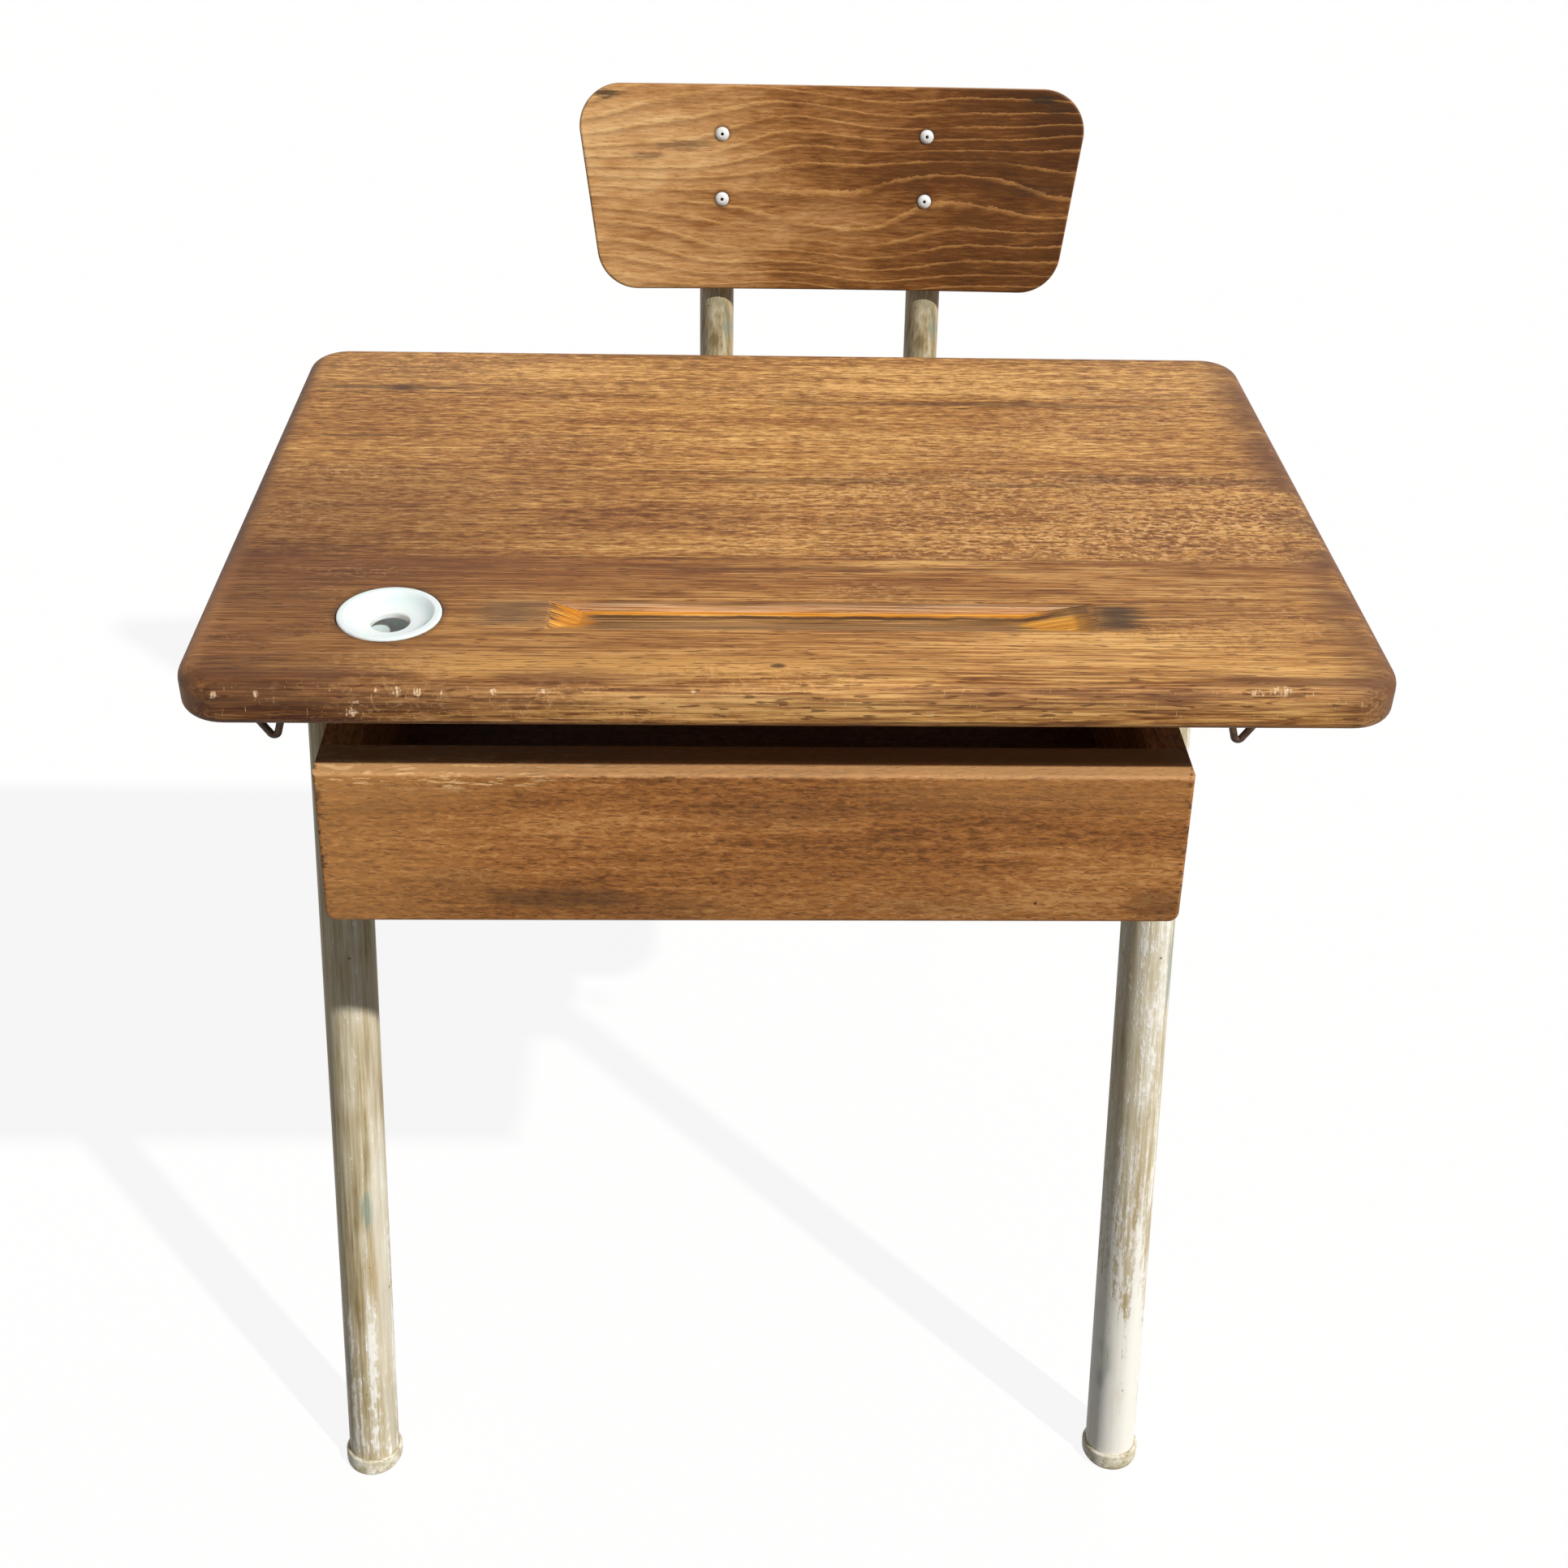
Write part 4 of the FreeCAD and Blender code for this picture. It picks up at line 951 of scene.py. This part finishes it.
def weld():
    """Weld beads where tubes meet tubes."""
    across = Vector((1, 0, 0))
    back = Vector((0, 1, 0))
    cross_low, cross_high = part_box("cross_tube")
    cross_at = (cross_low + cross_high) / 2
    cross_r = (cross_high.z - cross_low.z) / 2
    brace_low, brace_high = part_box("seat_cross_tube")
    brace_at = (brace_low + brace_high) / 2
    brace_r = (brace_high.z - brace_low.z) / 2
    for outward, name in ((-across, "left"), (across, "right")):
        leg = nodes["front_leg_" + name].data
        paint = leg.materials[0]
        foot, head = ends_of("front_leg_" + name)
        way = (head - foot).normalized()
        leg_r = max((v.co - foot).cross(way).length for v in leg.vertices)
        at = foot + way * ((cross_at.z - foot.z) / way.z)
        bead("weld_cross_" + name, saddle(foot, way, leg_r, at, -outward, cross_r), paint)
        arm_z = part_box("bag_hook_" + name)[1].z - HOOK_ROD_R
        at = foot + way * ((arm_z - foot.z) / way.z)
        hook_seam = saddle(foot, way, leg_r, at, outward, HOOK_ROD_R)
        bead("weld_hook_" + name, hook_seam, paint, BEAD_R * HOOK_BEAD_SHARE)

        spine_low, spine_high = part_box("seat_spine_" + name)
        spine_r = (spine_high.x - spine_low.x) / 2
        spine_x = (spine_low.x + spine_high.x) / 2
        at = Vector((spine_x, cross_at.y, cross_at.z))
        bead("weld_spine_" + name, saddle(cross_at, across, cross_r, at, back, spine_r), paint)
        run = Vector((spine_x, brace_at.y, spine_low.z + spine_r))
        bead("weld_brace_" + name, saddle(run, back, spine_r, run, -outward, brace_r), paint)
        foot, head = ends_of("rear_leg_" + name)
        down = (foot - head).normalized()
        at = foot + down * ((run.z - foot.z) / down.z)
        bead("weld_rear_leg_" + name, saddle(run, back, spine_r, at, down, spine_r * REAR_LEG_SHARE), paint)


def shine(name, azimuth, height, spread, strength, glare=True):
    """Far lamp in a direction; azimuth 0 is in front of the object, and positive ones are to its right."""
    lamp = bpy.data.lights.new(name, "SUN")
    lamp.energy = strength
    lamp.angle = spread
    lamp.color = LAMP_COLOUR
    towards = Vector((
        math.sin(azimuth) * math.cos(height),
        -math.cos(azimuth) * math.cos(height),
        math.sin(height),
    ))
    sun = bpy.data.objects.new(name, lamp)
    sun.rotation_mode = "QUATERNION"
    sun.rotation_quaternion = towards.to_track_quat("Z", "Y")
    sun.visible_glossy = glare
    bpy.context.scene.collection.objects.link(sun)


def stage():
    """Floor, sky, sun and a weak soft lamp from behind."""
    bpy.ops.mesh.primitive_plane_add(size=FLOOR_SIZE)
    floor = bpy.context.object
    floor.name = "studio_floor"
    f = Finish("studio_floor_white")
    path = f.add("ShaderNodeLightPath").outputs
    shown = f.most(path["Is Camera Ray"], path["Is Glossy Ray"], path["Is Transmission Ray"])
    bounce = f.add("ShaderNodeBsdfDiffuse")
    f.feed(bounce.inputs["Color"], (FLOOR_BOUNCE, FLOOR_BOUNCE, FLOOR_BOUNCE, 1.0))
    matt = f.add("ShaderNodeBsdfDiffuse")
    f.feed(matt.inputs["Color"], (FLOOR_TONE, FLOOR_TONE, FLOOR_TONE, 1.0))
    lifted = f.add("ShaderNodeMixShader")
    f.feed(lifted.inputs[0], FLOOR_LIFT)
    f.feed(lifted.inputs[1], matt.outputs[0])
    f.feed(lifted.inputs[2], f.add("ShaderNodeEmission").outputs[0])
    blend = f.add("ShaderNodeMixShader")
    f.feed(blend.inputs[0], shown)
    f.feed(blend.inputs[1], bounce.outputs[0])
    f.feed(blend.inputs[2], lifted.outputs[0])
    f.feed(f.add("ShaderNodeOutputMaterial").inputs["Surface"], blend.outputs[0])
    floor.data.materials.append(f.material)

    world = bpy.data.worlds.new("studio_sky")
    bpy.context.scene.world = world
    world.use_nodes = True
    tree = world.node_tree
    tree.nodes.clear()
    path = tree.nodes.new("ShaderNodeLightPath").outputs
    sky = tree.nodes.new("ShaderNodeBackground")
    white = tree.nodes.new("ShaderNodeBackground")
    for background in (sky, white):
        background.inputs["Color"].default_value = (1.0, 1.0, 1.0, 1.0)
    sky.inputs["Strength"].default_value = SKY_STRENGTH
    shown = path["Is Camera Ray"]
    for kind in ("Is Glossy Ray", "Is Transmission Ray"):
        either = tree.nodes.new("ShaderNodeMath")
        either.operation = "MAXIMUM"
        tree.links.new(shown, either.inputs[0])
        tree.links.new(path[kind], either.inputs[1])
        shown = either.outputs[0]
    blend = tree.nodes.new("ShaderNodeMixShader")
    tree.links.new(shown, blend.inputs[0])
    tree.links.new(sky.outputs[0], blend.inputs[1])
    tree.links.new(white.outputs[0], blend.inputs[2])
    tree.links.new(blend.outputs[0], tree.nodes.new("ShaderNodeOutputWorld").inputs["Surface"])

    shine("studio_sun", SUN_AZIMUTH, SUN_HEIGHT, SUN_SPREAD, SUN_STRENGTH)
    shine("studio_fill", FILL_AZIMUTH, FILL_HEIGHT, FILL_SPREAD, FILL_STRENGTH, glare=False)


def camera():
    """Camera at the photograph's viewing angle."""
    data = bpy.data.cameras.new("photo_camera")
    data.sensor_width = SENSOR
    data.lens = FOCAL_PX / PHOTO_PX * SENSOR
    data.shift_x = (PHOTO_PX / 2 - AXIS_PX[0]) / PHOTO_PX
    data.shift_y = (AXIS_PX[1] - PHOTO_PX / 2) / PHOTO_PX
    ahead = Vector((
        math.sin(CAMERA_YAW) * math.cos(CAMERA_PITCH),
        math.cos(CAMERA_YAW) * math.cos(CAMERA_PITCH),
        -math.sin(CAMERA_PITCH),
    ))
    right = ahead.cross(Vector((0, 0, 1))).normalized()
    up = right.cross(ahead)
    rolled_right = right * math.cos(CAMERA_ROLL) + up * math.sin(CAMERA_ROLL)
    rolled_up = up * math.cos(CAMERA_ROLL) - right * math.sin(CAMERA_ROLL)
    pose = Matrix((rolled_right, rolled_up, -ahead)).transposed().to_4x4()
    pose.translation = LID_MID + CAMERA_FROM_LID
    viewer = bpy.data.objects.new("photo_camera", data)
    viewer.matrix_world = pose
    bpy.context.scene.collection.objects.link(viewer)
    bpy.context.scene.camera = viewer


dress()
weld()
stage()
camera()
bpy.context.scene.view_settings.view_transform = "Standard"
